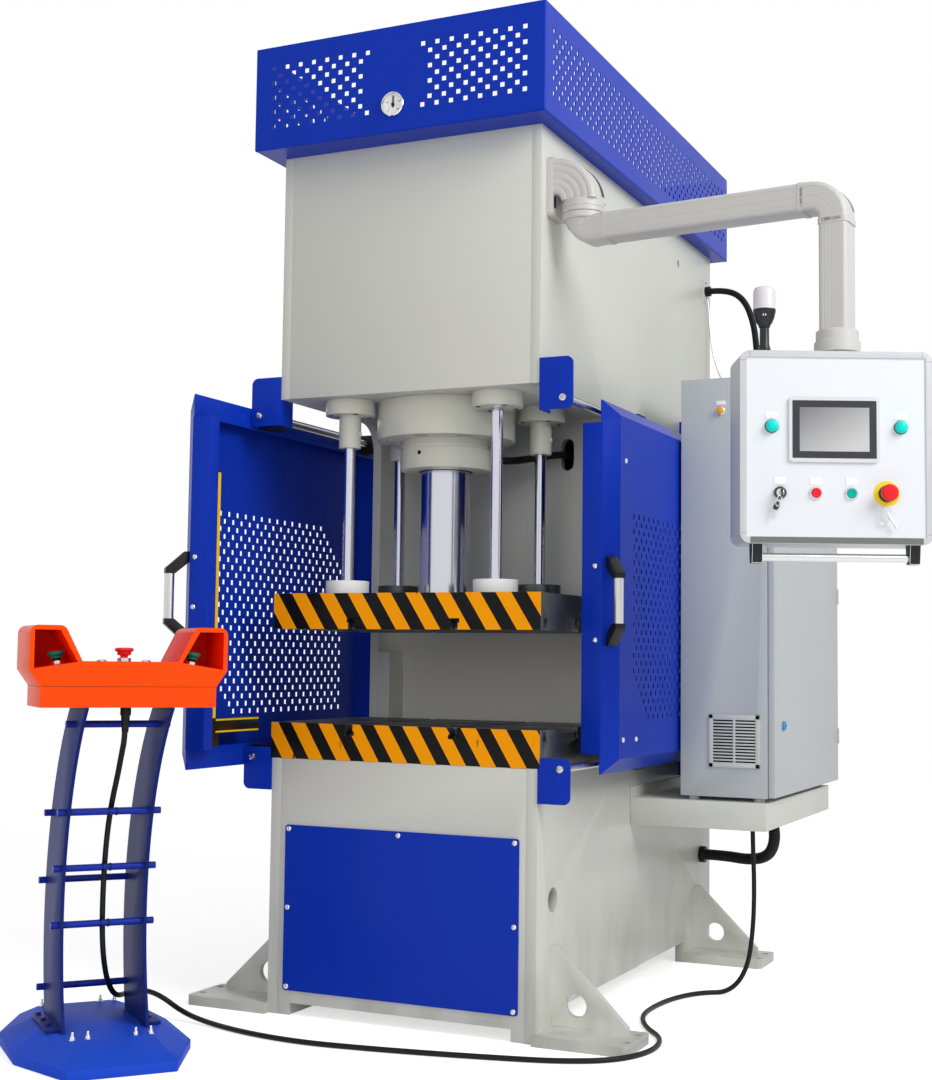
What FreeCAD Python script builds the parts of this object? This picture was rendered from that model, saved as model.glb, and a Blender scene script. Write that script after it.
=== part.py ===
import FreeCAD, Part
import math
import os
import re
import Sketcher

# Hydraulic press with a C-shaped frame, in millimetres. +X is the operator's right, +Y is the rear
# and +Z is up. The origin is on the floor, in the middle of the four outer anchor holes.
# "back" in a size's name means a distance behind the front face of the frame.

V = FreeCAD.Vector
os.makedirs("parts", exist_ok=True)
doc = FreeCAD.newDocument("HydraulicPress")

SIZES = {
    # frame
    "front_y": -660, "frame_half": 367, "frame_depth": 1450, "frame_top": 2235,
    "side_thick": 25, "head_low": 1579, "base_top": 646,
    "throat_back": 513, "wall_back": 600, "wall_thick": 25,
    "throat_round": 75, "bed_round": 25, "plinth": 60,
    "toe_long": 170, "heel_back": 1170,
    "cheek_proud": 4, "cheek_top": 633, "cheek_low": 748,
    "window_radius": 30, "window_back": 101, "window_height": 325,
    "lug_radius": 11, "lug_back": 1106, "lug_height": 2129,
    # feet
    "foot_tip": 605, "foot_thick": 25, "foot_front": -20, "foot_long": 167, "rear_foot_back": 1173,
    "gusset_thick": 18, "gusset_back": 102, "rear_gusset_back": 1290, "gusset_top": 215,
    "gusset_tip": 563, "gusset_flat": 14, "gusset_hole": 27.5, "gusset_hole_out": 432,
    "gusset_hole_up": 78, "anchor_out": 585, "anchor_front": 25, "anchor_pair": 85,
    "anchor_span": 1270, "anchor_radius": 11,
    # head, column and base boxes
    "head_front": 30, "crown": 80, "roof": 30, "rear_wall": 25,
    "slot_out": 205, "slot_up": 1482, "slot_radius": 19, "slot_long": 52,
    "jamb_inner": 304, "jamb_top": 924,
    "base_front": 25, "bed_thick": 80, "base_floor": 20, "skirt_low": 30, "pad_inner": 306,
    "hatch_half": 325, "hatch_low": 62, "hatch_high": 478, "hatch_thick": 4, "hatch_corner": 8,
    "hatch_lap": 25,
    # guard on top of the head
    "cowl_half": 410.4, "cowl_front": 87.5, "cowl_back": 1498, "cowl_low": 2223, "cowl_top": 2496,
    "sheet": 3, "cowl_field_low": 2292, "cowl_field_high": 2442,
    "cowl_field_in": 76, "cowl_field_out": 359,
    # perforation
    "hole_side": 31, "hole_pitch": 92.5, "hole_row": 46.25,
    # gauge
    "gauge_rise": 69, "gauge_radius": 31.5, "gauge_body": 27, "gauge_proud": 12, "gauge_long": 32,
    "dial_radius": 28, "dial_deep": 8, "needle_tail": 2.5, "needle_tip": 0.6,
    # power unit on the head
    "motor_back": 700, "motor_radius": 95, "motor_axis": 115, "motor_long": 320, "bell_radius": 78,
    "bell_long": 90, "pump_radius": 55, "pump_long": 120, "foot_plate": 12,
    "block_back": 330, "block_half": 60, "block_high": 110, "solenoid_radius": 26,
    "solenoid_reach": 150, "solenoid_up": 70,
    # cylinder
    "bore_back": 240, "flange_radius": 183.5, "flange_thick": 100, "barrel_radius": 140,
    "barrel_top": 2190, "bore_radius": 100, "bore_top": 2150, "rod_radius": 65,
    "gland_radius": 120, "gland_low": 1400, "spigot": 21, "loose": 0.3, "snug": 0.1,
    "screw_circle": 150, "screw_pocket": 18, "screw_deep": 26, "gland_bevel": 5,
    "piston_low": 1740, "piston_high": 1800,
    # ram and bolster
    "plate_half": 375, "plate_deep": 484, "ram_low": 978, "ram_high": 1070, "bolster_top": 737.5,
    "slot_half": 145, "slot_front": 34, "slot_step": 206, "tee_head": 13.5, "tee_neck": 9.5,
    "tee_deep": 28, "tee_neck_deep": 17,
    "stripe_thick": 1, "stripe_wide": 41, "ram_stripe_pitch": 82.5, "ram_stripe_first": -404.5,
    "ram_stripe_lean": 58, "bed_stripe_pitch": 80.3, "bed_stripe_first": -396.3,
    "bed_stripe_lean": 55,
    # guide rods
    "guide_out": 212, "guide_front": 96, "guide_step": 288, "guide_radius": 15, "guide_top": 1840,
    "bush_flange": 65, "bush_flange_thick": 40, "bush_low": 1454, "bush_radius": 29,
    "bush_spigot": 30, "collar_radius": 56.5, "collar_high": 35,
    # guard rails
    "rail_out": 430, "rail_radius": 10, "rail_top": 1538, "rail_low": 648, "rail_long": 1150,
    "rail_head": 15, "rail_head_thick": 9, "bracket_out": 455, "bracket_thick": 4,
    "bracket_wing": 60, "bracket_back": 1120, "bracket_round": 18,
    "top_bracket_low": 1511, "top_bracket_high": 1639, "low_bracket_low": 564,
    "low_bracket_high": 673,
    # sliding guard doors
    "door_rim": 460, "door_flare": 37, "door_long": 950, "door_low": 625, "door_high": 1560,
    "door_wall": 3, "door_band": 55, "lip_low": 675, "lip_high": 1503, "lip_inner": 409,
    "lip_deep": 38, "left_door_front": 258, "right_door_front": 184,
    "field_front": 141, "field_back": 810, "field_low": 755, "field_high": 1300, "field_corner": 150,
    "runner_inner": 405, "runner_outer": 457, "runner_high": 56, "runner_long": 60,
    "runner_first": 290, "runner_second": 850,
    "grip_low": 955, "grip_high": 1152, "grip_stand": 47, "grip_radius": 12, "grip_long": 112,
    "grip_wide": 26, "grip_foot": 13,
    "curtain_inner": 415, "curtain_outer": 455, "curtain_low": 750, "curtain_high": 1370,
    "curtain_deep": 38, "curtain_arm": 255, "curtain_arm_low": 715, "curtain_shoe": 680,
    "curtain_clip": 40,
    # cabinet
    "shelf_out": 749, "shelf_back": 679, "shelf_end": 1442, "shelf_low": 456, "shelf_high": 530,
    "shelf_sheet": 5, "shelf_lip": 560,
    "cabinet_in": 505, "cabinet_out": 748, "cabinet_back": 700, "cabinet_end": 1500,
    "cabinet_low": 541, "cabinet_high": 1690, "cabinet_sheet": 3, "cabinet_foot": 15,
    "door_thick": 20, "door_gap": 2, "door_fold": 15, "door_skin": 2,
    "lock_back": 791, "lock_up": 734, "lock_radius": 13, "lock_shank": 8, "lock_proud": 7,
    "vent_in": 586, "vent_out": 727, "vent_low": 621, "vent_high": 764, "vent_proud": 5,
    "vent_rim": 11, "vent_slot": 7, "vent_step": 14.5, "vent_count": 8,
    "panel_sheet": 4, "gear_deep": 62, "fuse_low": 1400, "fuse_high": 1500, "relay_low": 1150,
    "relay_high": 1290, "drive_low": 860, "drive_high": 1020,
    "lamp_radius": 12, "lamp_proud": 15, "cabinet_lamp_out": 619, "cabinet_lamp_up": 1598,
    # arm
    "mount_thick": 18, "mount_near": 30, "mount_far": 125, "mount_low": 2000, "mount_high": 2150,
    "elbow_up": 2035, "elbow_inner": 18, "elbow_outer": 108, "elbow_half": 45,
    "swivel_back": 75, "swivel_radius": 52, "swivel_low": 2004, "arm_turn": 5.7,
    "arm_long": 640, "arm_up": 1962, "arm_half_high": 33, "arm_half_deep": 37.5,
    "corner_inner": 20, "coupling_radius": 51.5, "coupling_top": 1653, "coupling_low": 1600,
    # control panel
    "case_turn": 25, "case_left": 230, "case_right": 194, "case_low": 1167, "case_high": 1594,
    "case_half_deep": 65, "case_corner": 22, "case_rim": 15, "case_wall": 22, "case_rear": 5,
    "face_inset": 3, "face_thick": 4, "neck_radius": 40,
    "screen_wide": 200, "screen_high": 146, "screen_off": -5, "screen_up": 38.5,
    "screen_proud": 6, "screen_deep": 40, "screen_lap": 6,
    "button_radius": 11, "button_proud": 8, "button_deep": 24, "control_up": -102,
    "stop_off": -45, "start_off": 33, "halt_off": 110, "key_off": -124,
    "halt_head": 19, "halt_proud": 38, "halt_head_thick": 15,
    "key_cap": 14, "key_cap_thick": 6, "key_bow": 11, "key_thick": 2.5, "key_long": 25,
    "light_off": 142, "light_up": 45, "light_radius": 15, "light_proud": 16,
    "beacon_off": -146, "beacon_stem": 10.5, "funnel_low": 1660, "funnel_high": 1690,
    "beacon_lens": 25.5, "beacon_top": 1750,
    "bar_up": 1138, "bar_radius": 9, "bar_half": 185, "bar_fore": 42, "bar_end_wide": 24,
    "bar_end_low": 1124, "bar_end_half": 20, "bar_end_tip": 13,
    # stand
    "stand_x": -537, "stand_back": -487, "stand_turn": 50,
    "stand_rim": 22, "stand_deck": 60, "stand_edge": 120, "stand_front": 300,
    "stand_side": 200, "stand_waist": 110, "deck_edge": 90, "deck_front": 200, "deck_side": 140,
    "deck_waist": 50,
    "leg_out": 95, "leg_thick": 8, "leg_low_wide": 215, "leg_top_wide": 172, "leg_arc": 650,
    "leg_arc_up": 300, "leg_far": 27, "leg_top": 790, "leg_flange": 40, "rung_radius": 8,
    "rung_reach": 118, "rung_inset": 18, "rung_top": 750, "rung_front_high": 548,
    "rung_front_middle": 418, "rung_front_low": 290, "rung_rear_high": 534, "rung_rear_middle": 372,
    "rung_rear_low": 126,
    "console_half": 195, "console_front": 270, "console_back": 110, "console_low": 790,
    "console_split": 836, "console_deck": 891, "hood_half": 220, "hood_low": 872, "hood_top": 969,
    "hood_root": 106, "hood_shoulder": 145, "hood_wall": 10, "hood_back_wall": 15,
    "hood_round": 18, "palm_out": 150, "palm_fore": 210, "palm_tilt": 9, "palm_radius": 19.5,
    "palm_shank": 9, "palm_well": 14, "well_deep": 40, "ring_radius": 16, "ring_high": 8,
    "palm_cap_low": 17, "palm_cap_high": 29, "halt_fore": 200, "console_halt_head": 21,
    "console_halt_low": 15, "console_halt_high": 31, "console_lamp_out": 50,
    "console_lamp_radius": 11, "console_lamp_high": 5,
    # cables and conduits
    "cable_radius": 6.5, "conduit_radius": 17, "head_conduit_radius": 10, "hose_radius": 10,
    "gland_long": 18, "small_gland": 12, "big_gland": 25, "port_turn": 48, "port_up": 1440,
    "port_clear": 0.2, "head_gland_back": 1395, "head_gland_up": 2104, "top_gland_out": 566,
    "top_gland_back": 1290, "base_gland_back": 1347, "base_gland_up": 305, "shelf_gland_out": 645,
    "shelf_gland_back": 1165, "drop_out": 680, "drop_back": 800, "hose_run": 48, "hose_lead": 10,
    "hose_tail": 70,
}
sizes = doc.addObject("Spreadsheet::Sheet", "Sizes")
for row, (alias, value) in enumerate(SIZES.items(), 1):
    sizes.set("A%d" % row, alias)
    sizes.set("B%d" % row, str(value))
    sizes.setAlias("B%d" % row, alias)
doc.recompute()

WORD = re.compile(r"[a-z_]+")
nodes = []


def bound(text):
    """Write each size's name in a formula as a reference to the sheet."""
    return WORD.sub(lambda word: "Sizes." + word.group() if word.group() in SIZES else word.group(), text)


def size(alias):
    """Read one size back from the sheet."""
    return float(sizes.get(alias))


def back(distance):
    """Place a distance behind the front face of the frame."""
    return "(front_y + %s)" % distance


def across(side, near, far):
    """Give the low and high X of a span between two distances out to one side."""
    return (near, far) if side > 0 else ("-(%s)" % far, "-(%s)" % near)


def rectangle(left, right, low, high):
    """Give the four corners of an upright rectangle."""
    return [(left, low), (right, low), (right, high), (left, high)]


# ---------------------------------------------------------------- ways to make a solid

def origin_piece(body, role):
    """Find a body's own origin plane or axis."""
    return next(piece for piece in body.Origin.OriginFeatures if piece.Role == role)


def new_body(name):
    """Start a sub-part that is built from sketches."""
    return doc.addObject("PartDesign::Body", name)


def new_sketch(body, plane, offset):
    """Lay a sketch on an origin plane of its own body, moved by an offset in the plane's own axes."""
    sketch = body.newObject("Sketcher::SketchObject", body.Name + "_sketch")
    sketch.AttachmentSupport = [(origin_piece(body, plane + "_Plane"), "")]
    sketch.MapMode = "FlatFace"
    for axis, distance in zip("xyz", offset):
        sketch.setExpression("AttachmentOffset.Base." + axis, bound(distance))
    return sketch


def fix_point(sketch, line, end, place):
    """Dimension a point across and up from the sketch's origin."""
    for kind, distance in zip(("DistanceX", "DistanceY"), place):
        number = sketch.addConstraint(Sketcher.Constraint(kind, -1, 1, line, end, 1.0))
        sketch.setExpression("Constraints[%d]" % number, bound(distance))


def draw_outline(sketch, corners):
    """Draw a closed outline with every corner dimensioned."""
    first = sketch.GeometryCount
    count = len(corners)
    ring = [V(math.cos(math.tau * i / count), math.sin(math.tau * i / count), 0) for i in range(count)]
    for i in range(count):
        sketch.addGeometry(Part.LineSegment(ring[i], ring[(i + 1) % count]), False)
    for i in range(count):
        following = first + (i + 1) % count
        sketch.addConstraint(Sketcher.Constraint("Coincident", first + i, 2, following, 1))
    for i, corner in enumerate(corners):
        fix_point(sketch, first + i, 1, corner)


def draw_circle(sketch, across_x, up, radius):
    """Draw a circle with its centre and radius dimensioned."""
    circle = sketch.addGeometry(Part.Circle(V(0, 0, 0), V(0, 0, 1), 1), False)
    number = sketch.addConstraint(Sketcher.Constraint("Radius", circle, 1.0))
    sketch.setExpression("Constraints[%d]" % number, bound(radius))
    fix_point(sketch, circle, 3, (across_x, up))


def prism(body, plane, low, high, outlines=(), rounds=(), cut=False):
    """Pad or pocket a sketch between two distances along the plane's own axis."""
    start = "-(%s)" % high if plane == "XZ" else low
    sketch = new_sketch(body, plane, ("0", "0", start))
    for corners in outlines:
        draw_outline(sketch, corners)
    for circle in rounds:
        draw_circle(sketch, *circle)
    feature = body.newObject("PartDesign::Pocket" if cut else "PartDesign::Pad", body.Name + "_step")
    feature.Profile = sketch
    feature.setExpression("Length", bound("(%s) - (%s)" % (high, low)))
    if cut:
        feature.Reversed = True
    return feature


def turned(body, along, centre, profile, cut=False, angle=360):
    """Turn a profile about a line along X, Y or Z. The profile's points are (radius, distance)."""
    x, y, z = centre
    plane, offset, axis = {
        "X": ("XY", (x, y, z), "H_Axis"),
        "Y": ("XY", (x, y, z), "V_Axis"),
        "Z": ("XZ", (x, z, "-(%s)" % y), "V_Axis"),
    }[along]
    sketch = new_sketch(body, plane, offset)
    draw_outline(sketch, [point[::-1] for point in profile] if along == "X" else profile)
    feature = body.newObject("PartDesign::Groove" if cut else "PartDesign::Revolution", body.Name + "_turn")
    feature.Profile = sketch
    feature.ReferenceAxis = (sketch, [axis])
    feature.Angle = angle
    return feature


def quarter_bend(body, start_x, axis_z, low_y, high_y, inner, outer):
    """Bend a square section from level to hanging down, about a line along Y."""
    sketch = new_sketch(body, "YZ", ("0", axis_z, start_x))
    draw_outline(sketch, rectangle(low_y, high_y, inner, outer))
    feature = body.newObject("PartDesign::Revolution", body.Name + "_bend")
    feature.Profile = sketch
    feature.ReferenceAxis = (sketch, ["H_Axis"])
    feature.Angle = 90
    return feature


def loft(body, plane, low, high, first, last, cut=False):
    """Loft between two outlines that lie at two distances along the plane's own axis."""
    start = new_sketch(body, plane, ("0", "0", low))
    draw_outline(start, first)
    end = new_sketch(body, plane, ("0", "0", high))
    draw_outline(end, last)
    kind = "PartDesign::SubtractiveLoft" if cut else "PartDesign::AdditiveLoft"
    feature = body.newObject(kind, body.Name + "_loft")
    feature.Profile = start
    feature.Sections = [end]
    feature.Ruled = True
    return feature


def repeat(body, kind, axis, count, amount, feature):
    """Repeat the last feature in a row along, or in a ring about, one of the body's own axes."""
    pattern = body.newObject("PartDesign::" + kind, body.Name + "_pattern")
    pattern.Originals = [feature]
    if kind == "PolarPattern":
        pattern.Axis = (origin_piece(body, axis), [""])
        pattern.Angle = 360
    else:
        pattern.Direction = (origin_piece(body, axis), [""])
        pattern.setExpression("Length", bound(amount))
    pattern.Occurrences = count
    body.Tip = pattern
    return pattern


def is_along(edge, axis):
    """Tell whether an edge is a straight line along X, Y or Z."""
    if not isinstance(edge.Curve, Part.Line):
        return False
    return abs(abs(getattr(edge.Curve.Direction, axis)) - 1) < 1e-6


def rounded(body, radius, axis, wanted=lambda middle: True):
    """Round the straight edges along one axis whose middle is wanted."""
    doc.recompute()
    base = body.Tip
    names = ["Edge%d" % number for number, edge in enumerate(base.Shape.Edges, 1)
             if is_along(edge, axis) and wanted(edge.CenterOfMass)]
    feature = body.newObject("PartDesign::Fillet", body.Name + "_round")
    feature.Base = (base, names)
    feature.setExpression("Radius", bound(radius))
    return feature


def put(thing, x="0", y="0", z="0", turn="0", axis=(0, 0, 1)):
    """Place a sub-part and turn it, with both read from the sheet."""
    thing.Placement = FreeCAD.Placement(V(0, 0, 0), FreeCAD.Rotation(V(*axis), 1))
    for name, distance in (("Base.x", x), ("Base.y", y), ("Base.z", z), ("Rotation.Angle", turn)):
        thing.setExpression("Placement." + name, bound(distance))
    return thing


def group(name, members):
    """Keep like pieces together as separate solids."""
    thing = doc.addObject("Part::Compound", name)
    thing.Links = members
    return thing


def keep(thing):
    """List a finished sub-part for export."""
    nodes.append(thing)
    return thing


def set_shape(name, shape):
    """Store a shape that is worked out from the sheet's sizes."""
    thing = doc.addObject("Part::Feature", name)
    thing.Shape = shape
    thing.Placement = FreeCAD.Placement()
    return thing


def perforated(name, sheet_part, cutters):
    """Cut a field of holes out of a sheet."""
    thing = doc.addObject("Part::Cut", name)
    thing.Base = sheet_part
    thing.Tool = set_shape(name + "_holes", Part.makeCompound(cutters))
    return thing


def staggered(low, high, floor, ceiling):
    """Give the lower corners of square holes in staggered rows that fit a field."""
    side, pitch, row = size("hole_side"), size("hole_pitch"), size("hole_row")
    rows = int((ceiling - floor - side) / row) + 1
    places = []
    for number in range(rows):
        shift = pitch / 2 * (number % 2)
        count = int((high - low - side - shift) / pitch) + 1
        for hole in range(count):
            places.append((low + shift + hole * pitch, floor + number * row))
    return places


# ---------------------------------------------------------------- frame

inner_half = "(frame_half - side_thick)"
rear = back("frame_depth")


def side_plate(side, word):
    """Cut one side plate with its cheek, feet and gussets."""
    body = new_body("side_plate_" + word)
    low, high = across(side, inner_half, "frame_half")
    toe, heel = back("toe_long"), back("heel_back")
    prism(body, "YZ", low, high, [[
        ("front_y", "0"), (toe, "0"), (toe, "plinth"), (heel, "plinth"), (heel, "0"), (rear, "0"),
        (rear, "frame_top"), ("front_y", "frame_top"), ("front_y", "head_low"),
        (back("throat_back"), "head_low"), (back("throat_back"), "base_top"), ("front_y", "base_top")]])
    throat = size("front_y") + size("throat_back")
    rounded(body, "throat_round", "x", lambda m: abs(m.y - throat) < 1 and m.z > size("head_low") - 1)
    rounded(body, "bed_round", "x", lambda m: abs(m.y - throat) < 1 and m.z < size("base_top") + 1)
    low, high = across(side, "frame_half", "(frame_half + cheek_proud)")
    prism(body, "YZ", low, high, [[
        ("front_y", "0"), (toe, "0"), (toe, "plinth"), (back("cheek_low"), "plinth"),
        (back("cheek_top"), "base_top"), ("front_y", "base_top")]])
    low, high = across(side, "frame_half", "foot_tip")
    for start in (back("foot_front"), back("rear_foot_back")):
        end = "(%s + foot_long)" % start
        prism(body, "XY", "0", "foot_thick", [rectangle(low, high, start, end)])
    rounded(body, "gusset_flat", "z", lambda m: abs(abs(m.x) - size("foot_tip")) < 1)
    for start in (back("gusset_back"), back("rear_gusset_back")):
        outline = [("frame_half", "foot_thick"), ("gusset_tip", "foot_thick"),
                   ("gusset_tip", "foot_thick + gusset_flat"), ("frame_half + gusset_flat", "gusset_top"),
                   ("frame_half", "gusset_top")]
        outline = [("%d * (%s)" % (side, x), z) for x, z in outline]
        prism(body, "XZ", start, "(%s + gusset_thick)" % start, [outline],
              [("%d * gusset_hole_out" % side, "gusset_hole_up", "gusset_hole")])
    holes = []
    for first in ("anchor_front", "(anchor_front + anchor_span - anchor_pair)"):
        for step in ("0", "anchor_pair"):
            holes.append(("%d * anchor_out" % side, back("%s + %s" % (first, step)), "anchor_radius"))
    prism(body, "XY", "0", "foot_thick", rounds=holes, cut=True)
    low, high = across(side, inner_half, "(frame_half + cheek_proud)")
    prism(body, "YZ", low, high, rounds=[
        (back("window_back"), "window_height", "window_radius"),
        (back("lug_back"), "lug_height", "lug_radius")], cut=True)
    keep(body)


for side, word in ((-1, "left"), (1, "right")):
    side_plate(side, word)

# The head is a closed ring of plates, bored through its crown for the cylinder and the guides.
head = new_body("head_box")
prism(head, "YZ", "-" + inner_half, inner_half, [
    rectangle("front_y", rear, "head_low", "frame_top"),
    rectangle(back("head_front"), "(%s - rear_wall)" % rear, "head_low + crown", "frame_top - roof")])
guide_places = [("%d * guide_out" % side, back("guide_front + %d * guide_step" % row))
                for row in (0, 1) for side in (-1, 1)]
prism(head, "XY", "head_low", "head_low + crown", rounds=[
    ("0", back("bore_back"), "barrel_radius + loose")] +
    [(x, y, "bush_spigot + loose") for x, y in guide_places], cut=True)
keep(head)

# The column is a front wall with a hose slot and a jamb at each side, and a rear wall.
front_wall = new_body("column_front_wall")
wall_front = back("wall_back")
wall_rear = "(%s + wall_thick)" % wall_front
prism(front_wall, "XZ", wall_front, wall_rear, [rectangle("-" + inner_half, inner_half, "base_top", "head_low")])
for side in (-1, 1):
    low, high = across(side, "jamb_inner", inner_half)
    prism(front_wall, "XZ", back("throat_back"), wall_front, [rectangle(low, high, "base_top", "jamb_top")])
prism(front_wall, "XZ", wall_front, wall_rear, [rectangle(
    "slot_out - slot_radius", "slot_out + slot_radius",
    "slot_up - slot_long / 2", "slot_up + slot_long / 2")], cut=True)
prism(front_wall, "XZ", wall_front, wall_rear, rounds=[
    ("slot_out", "slot_up + %d * slot_long / 2" % end, "slot_radius") for end in (-1, 1)], cut=True)
rear_wall = new_body("column_rear_wall")
prism(rear_wall, "XZ", "(%s - rear_wall)" % rear, rear,
      [rectangle("-" + inner_half, inner_half, "base_top", "head_low")])
keep(group("column_walls", [front_wall, rear_wall]))

# The base is a box under the bed, open at the front behind its hatch.
base = new_body("base_box")
prism(base, "YZ", "-" + inner_half, inner_half, [
    rectangle("front_y", rear, "plinth", "base_top"),
    rectangle(back("base_front"), "(%s - rear_wall)" % rear, "plinth + base_floor",
              "base_top - bed_thick")])
prism(base, "XY", "skirt_low", "plinth", [rectangle("-" + inner_half, inner_half, "front_y", back("base_front"))])
for side in (-1, 1):
    low, high = across(side, "pad_inner", inner_half)
    prism(base, "XY", "0", "plinth", [rectangle(low, high, "front_y", back("toe_long"))])
prism(base, "XZ", "front_y", back("base_front"), [rectangle(
    "hatch_lap - hatch_half", "hatch_half - hatch_lap", "hatch_low + hatch_lap",
    "hatch_high - hatch_lap")], cut=True)
keep(base)

hatch = new_body("access_panel")
prism(hatch, "XZ", "front_y - hatch_thick", "front_y",
      [rectangle("-hatch_half", "hatch_half", "hatch_low", "hatch_high")])
rounded(hatch, "hatch_corner", "y")
keep(hatch)

# ---------------------------------------------------------------- guard on top of the head

cowl_start = "(front_y - cowl_front)"
gauge_up = "(cowl_low + gauge_rise)"
cowl_end = back("cowl_back")


def cowl_panel(name, plane, wall_span, flange_span, wall, shelf):
    """Fold one wall of the guard, with its bottom flange turned in to the head."""
    body = new_body(name)
    prism(body, plane, *wall_span, [rectangle(wall[0], wall[1], "cowl_low", "cowl_top")])
    prism(body, plane, *flange_span, [rectangle(wall[0], shelf, "cowl_low", "cowl_low + sheet")])
    return body


field_low, field_high = size("cowl_field_low"), size("cowl_field_high")
hole = size("hole_side")
deep = size("sheet")
full_width = ("-cowl_half", "cowl_half")
head_width = ("-frame_half", "frame_half")
front_sheet = cowl_panel("cowl_front_sheet", "YZ", full_width, head_width,
                         (cowl_start, "(%s + sheet)" % cowl_start), "front_y")
prism(front_sheet, "XZ", cowl_start, "(%s + sheet)" % cowl_start,
      rounds=[("0", gauge_up, "gauge_body + loose")], cut=True)
cutters = []
for low, high in ((-size("cowl_field_out"), -size("cowl_field_in")),
                  (size("cowl_field_in"), size("cowl_field_out"))):
    for x, z in staggered(low, high, field_low, field_high):
        corner = V(x, size("front_y") - size("cowl_front") - deep, z)
        cutters.append(Part.makeBox(hole, 3 * deep, hole, corner))
keep(perforated("top_guard_front", front_sheet, cutters))

keep(cowl_panel("top_guard_rear", "YZ", full_width, head_width,
                (cowl_end, "(%s - sheet)" % cowl_end), rear))
for side, word in ((-1, "left"), (1, "right")):
    outer, skin = "%d * cowl_half" % side, "%d * (cowl_half - sheet)" % side
    long_span = ("(%s + sheet)" % cowl_start, "(%s - sheet)" % cowl_end)
    sheet_body = cowl_panel("cowl_%s_sheet" % word, "XZ", long_span, long_span, (outer, skin),
                            "%d * frame_half" % side)
    cutters = []
    for y, z in staggered(size("front_y") - hole, size("front_y") + size("frame_depth") + hole,
                          field_low, field_high):
        corner = V(side * size("cowl_half") - 1.5 * deep, y, z)
        cutters.append(Part.makeBox(3 * deep, hole, hole, corner))
    keep(perforated("top_guard_" + word, sheet_body, cutters))

# The gauge looks out through the front of the guard.
gauge = new_body("gauge_case")
turned(gauge, "Y", ("0", cowl_start, gauge_up), [
    ("0", "gauge_long"), ("gauge_body", "gauge_long"), ("gauge_body", "0"), ("gauge_radius", "0"),
    ("gauge_radius", "-gauge_proud"), ("dial_radius", "-gauge_proud"),
    ("dial_radius", "dial_deep - gauge_proud"), ("0", "dial_deep - gauge_proud")])
keep(gauge)
needle = new_body("gauge_needle")
needle_face = "(%s - gauge_proud + dial_deep)" % cowl_start
prism(needle, "XZ", "%s - dial_deep / 4" % needle_face, needle_face, [[
    ("-needle_tail", gauge_up + " - dial_radius / 4"), ("needle_tail", gauge_up + " - dial_radius / 4"),
    ("needle_tip", gauge_up + " + dial_radius * 0.85"), ("-needle_tip", gauge_up + " + dial_radius * 0.85")]])
prism(needle, "XZ", "%s - dial_deep / 2" % needle_face, needle_face,
      rounds=[("0", gauge_up, "dial_radius / 7")])
keep(needle)

# ---------------------------------------------------------------- power unit on the head

motor = new_body("pump_motor")
motor_centre = ("0", back("motor_back"), "frame_top + motor_axis")
turned(motor, "Y", motor_centre, [
    ("0", "-pump_long - bell_long"), ("pump_radius", "-pump_long - bell_long"), ("pump_radius", "-bell_long"),
    ("bell_radius", "-bell_long"), ("motor_radius", "0"), ("motor_radius", "motor_long"),
    ("bell_radius", "motor_long + bell_long / 2"), ("0", "motor_long + bell_long / 2")])
prism(motor, "XZ", back("motor_back + motor_long / 8"), back("motor_back + motor_long * 7 / 8"), [[
    ("-motor_radius", "frame_top"), ("motor_radius", "frame_top"),
    ("motor_radius", "frame_top + foot_plate"), ("motor_radius * 0.6", "frame_top + foot_plate"),
    ("motor_radius * 0.5", "frame_top + motor_axis"), ("-motor_radius * 0.5", "frame_top + motor_axis"),
    ("-motor_radius * 0.6", "frame_top + foot_plate"), ("-motor_radius", "frame_top + foot_plate")]])
keep(motor)
block = new_body("valve_block")
prism(block, "XY", "frame_top", "frame_top + block_high",
      [rectangle("-block_half", "block_half", back("block_back"), back("block_back + 2 * block_half"))])
for step in (0.5, 1.5):
    turned(block, "X", ("0", back("block_back + %s * block_half" % step), "frame_top + solenoid_up"), [
        ("0", "-solenoid_reach"), ("solenoid_radius", "-solenoid_reach"),
        ("solenoid_radius", "solenoid_reach"), ("0", "solenoid_reach")])
keep(block)

# ---------------------------------------------------------------- cylinder

barrel = new_body("cylinder_barrel")
flange_low = "(head_low - flange_thick)"
turned(barrel, "Z", ("0", "0", "0"), [
    ("bore_radius + loose", flange_low), ("flange_radius", flange_low), ("flange_radius", "head_low"),
    ("barrel_radius", "head_low"), ("barrel_radius", "barrel_top"), ("0", "barrel_top"), ("0", "bore_top"),
    ("bore_radius + loose", "bore_top")])
screw = prism(barrel, "XY", flange_low, "%s + screw_deep" % flange_low,
              rounds=[("screw_circle", "0", "screw_pocket")], cut=True)
repeat(barrel, "PolarPattern", "Z_Axis", 8, None, screw)
keep(put(barrel, y=back("bore_back")))

gland = new_body("cylinder_gland")
turned(gland, "Z", ("0", "0", "0"), [
    ("rod_radius + loose", "gland_low"), ("gland_radius - gland_bevel", "gland_low"),
    ("gland_radius", "gland_low + gland_bevel"), ("gland_radius", flange_low),
    ("bore_radius - loose", flange_low), ("bore_radius - loose", flange_low + " + spigot"),
    ("rod_radius + loose", flange_low + " + spigot")])
keep(put(gland, y=back("bore_back")))

rod = new_body("piston_rod")
turned(rod, "Z", ("0", "0", "0"), [
    ("0", "ram_high"), ("rod_radius", "ram_high"), ("rod_radius", "piston_low"), ("bore_radius", "piston_low"),
    ("bore_radius", "piston_high"), ("0", "piston_high")])
keep(put(rod, y=back("bore_back")))

# ---------------------------------------------------------------- ram plate and bolster


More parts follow.
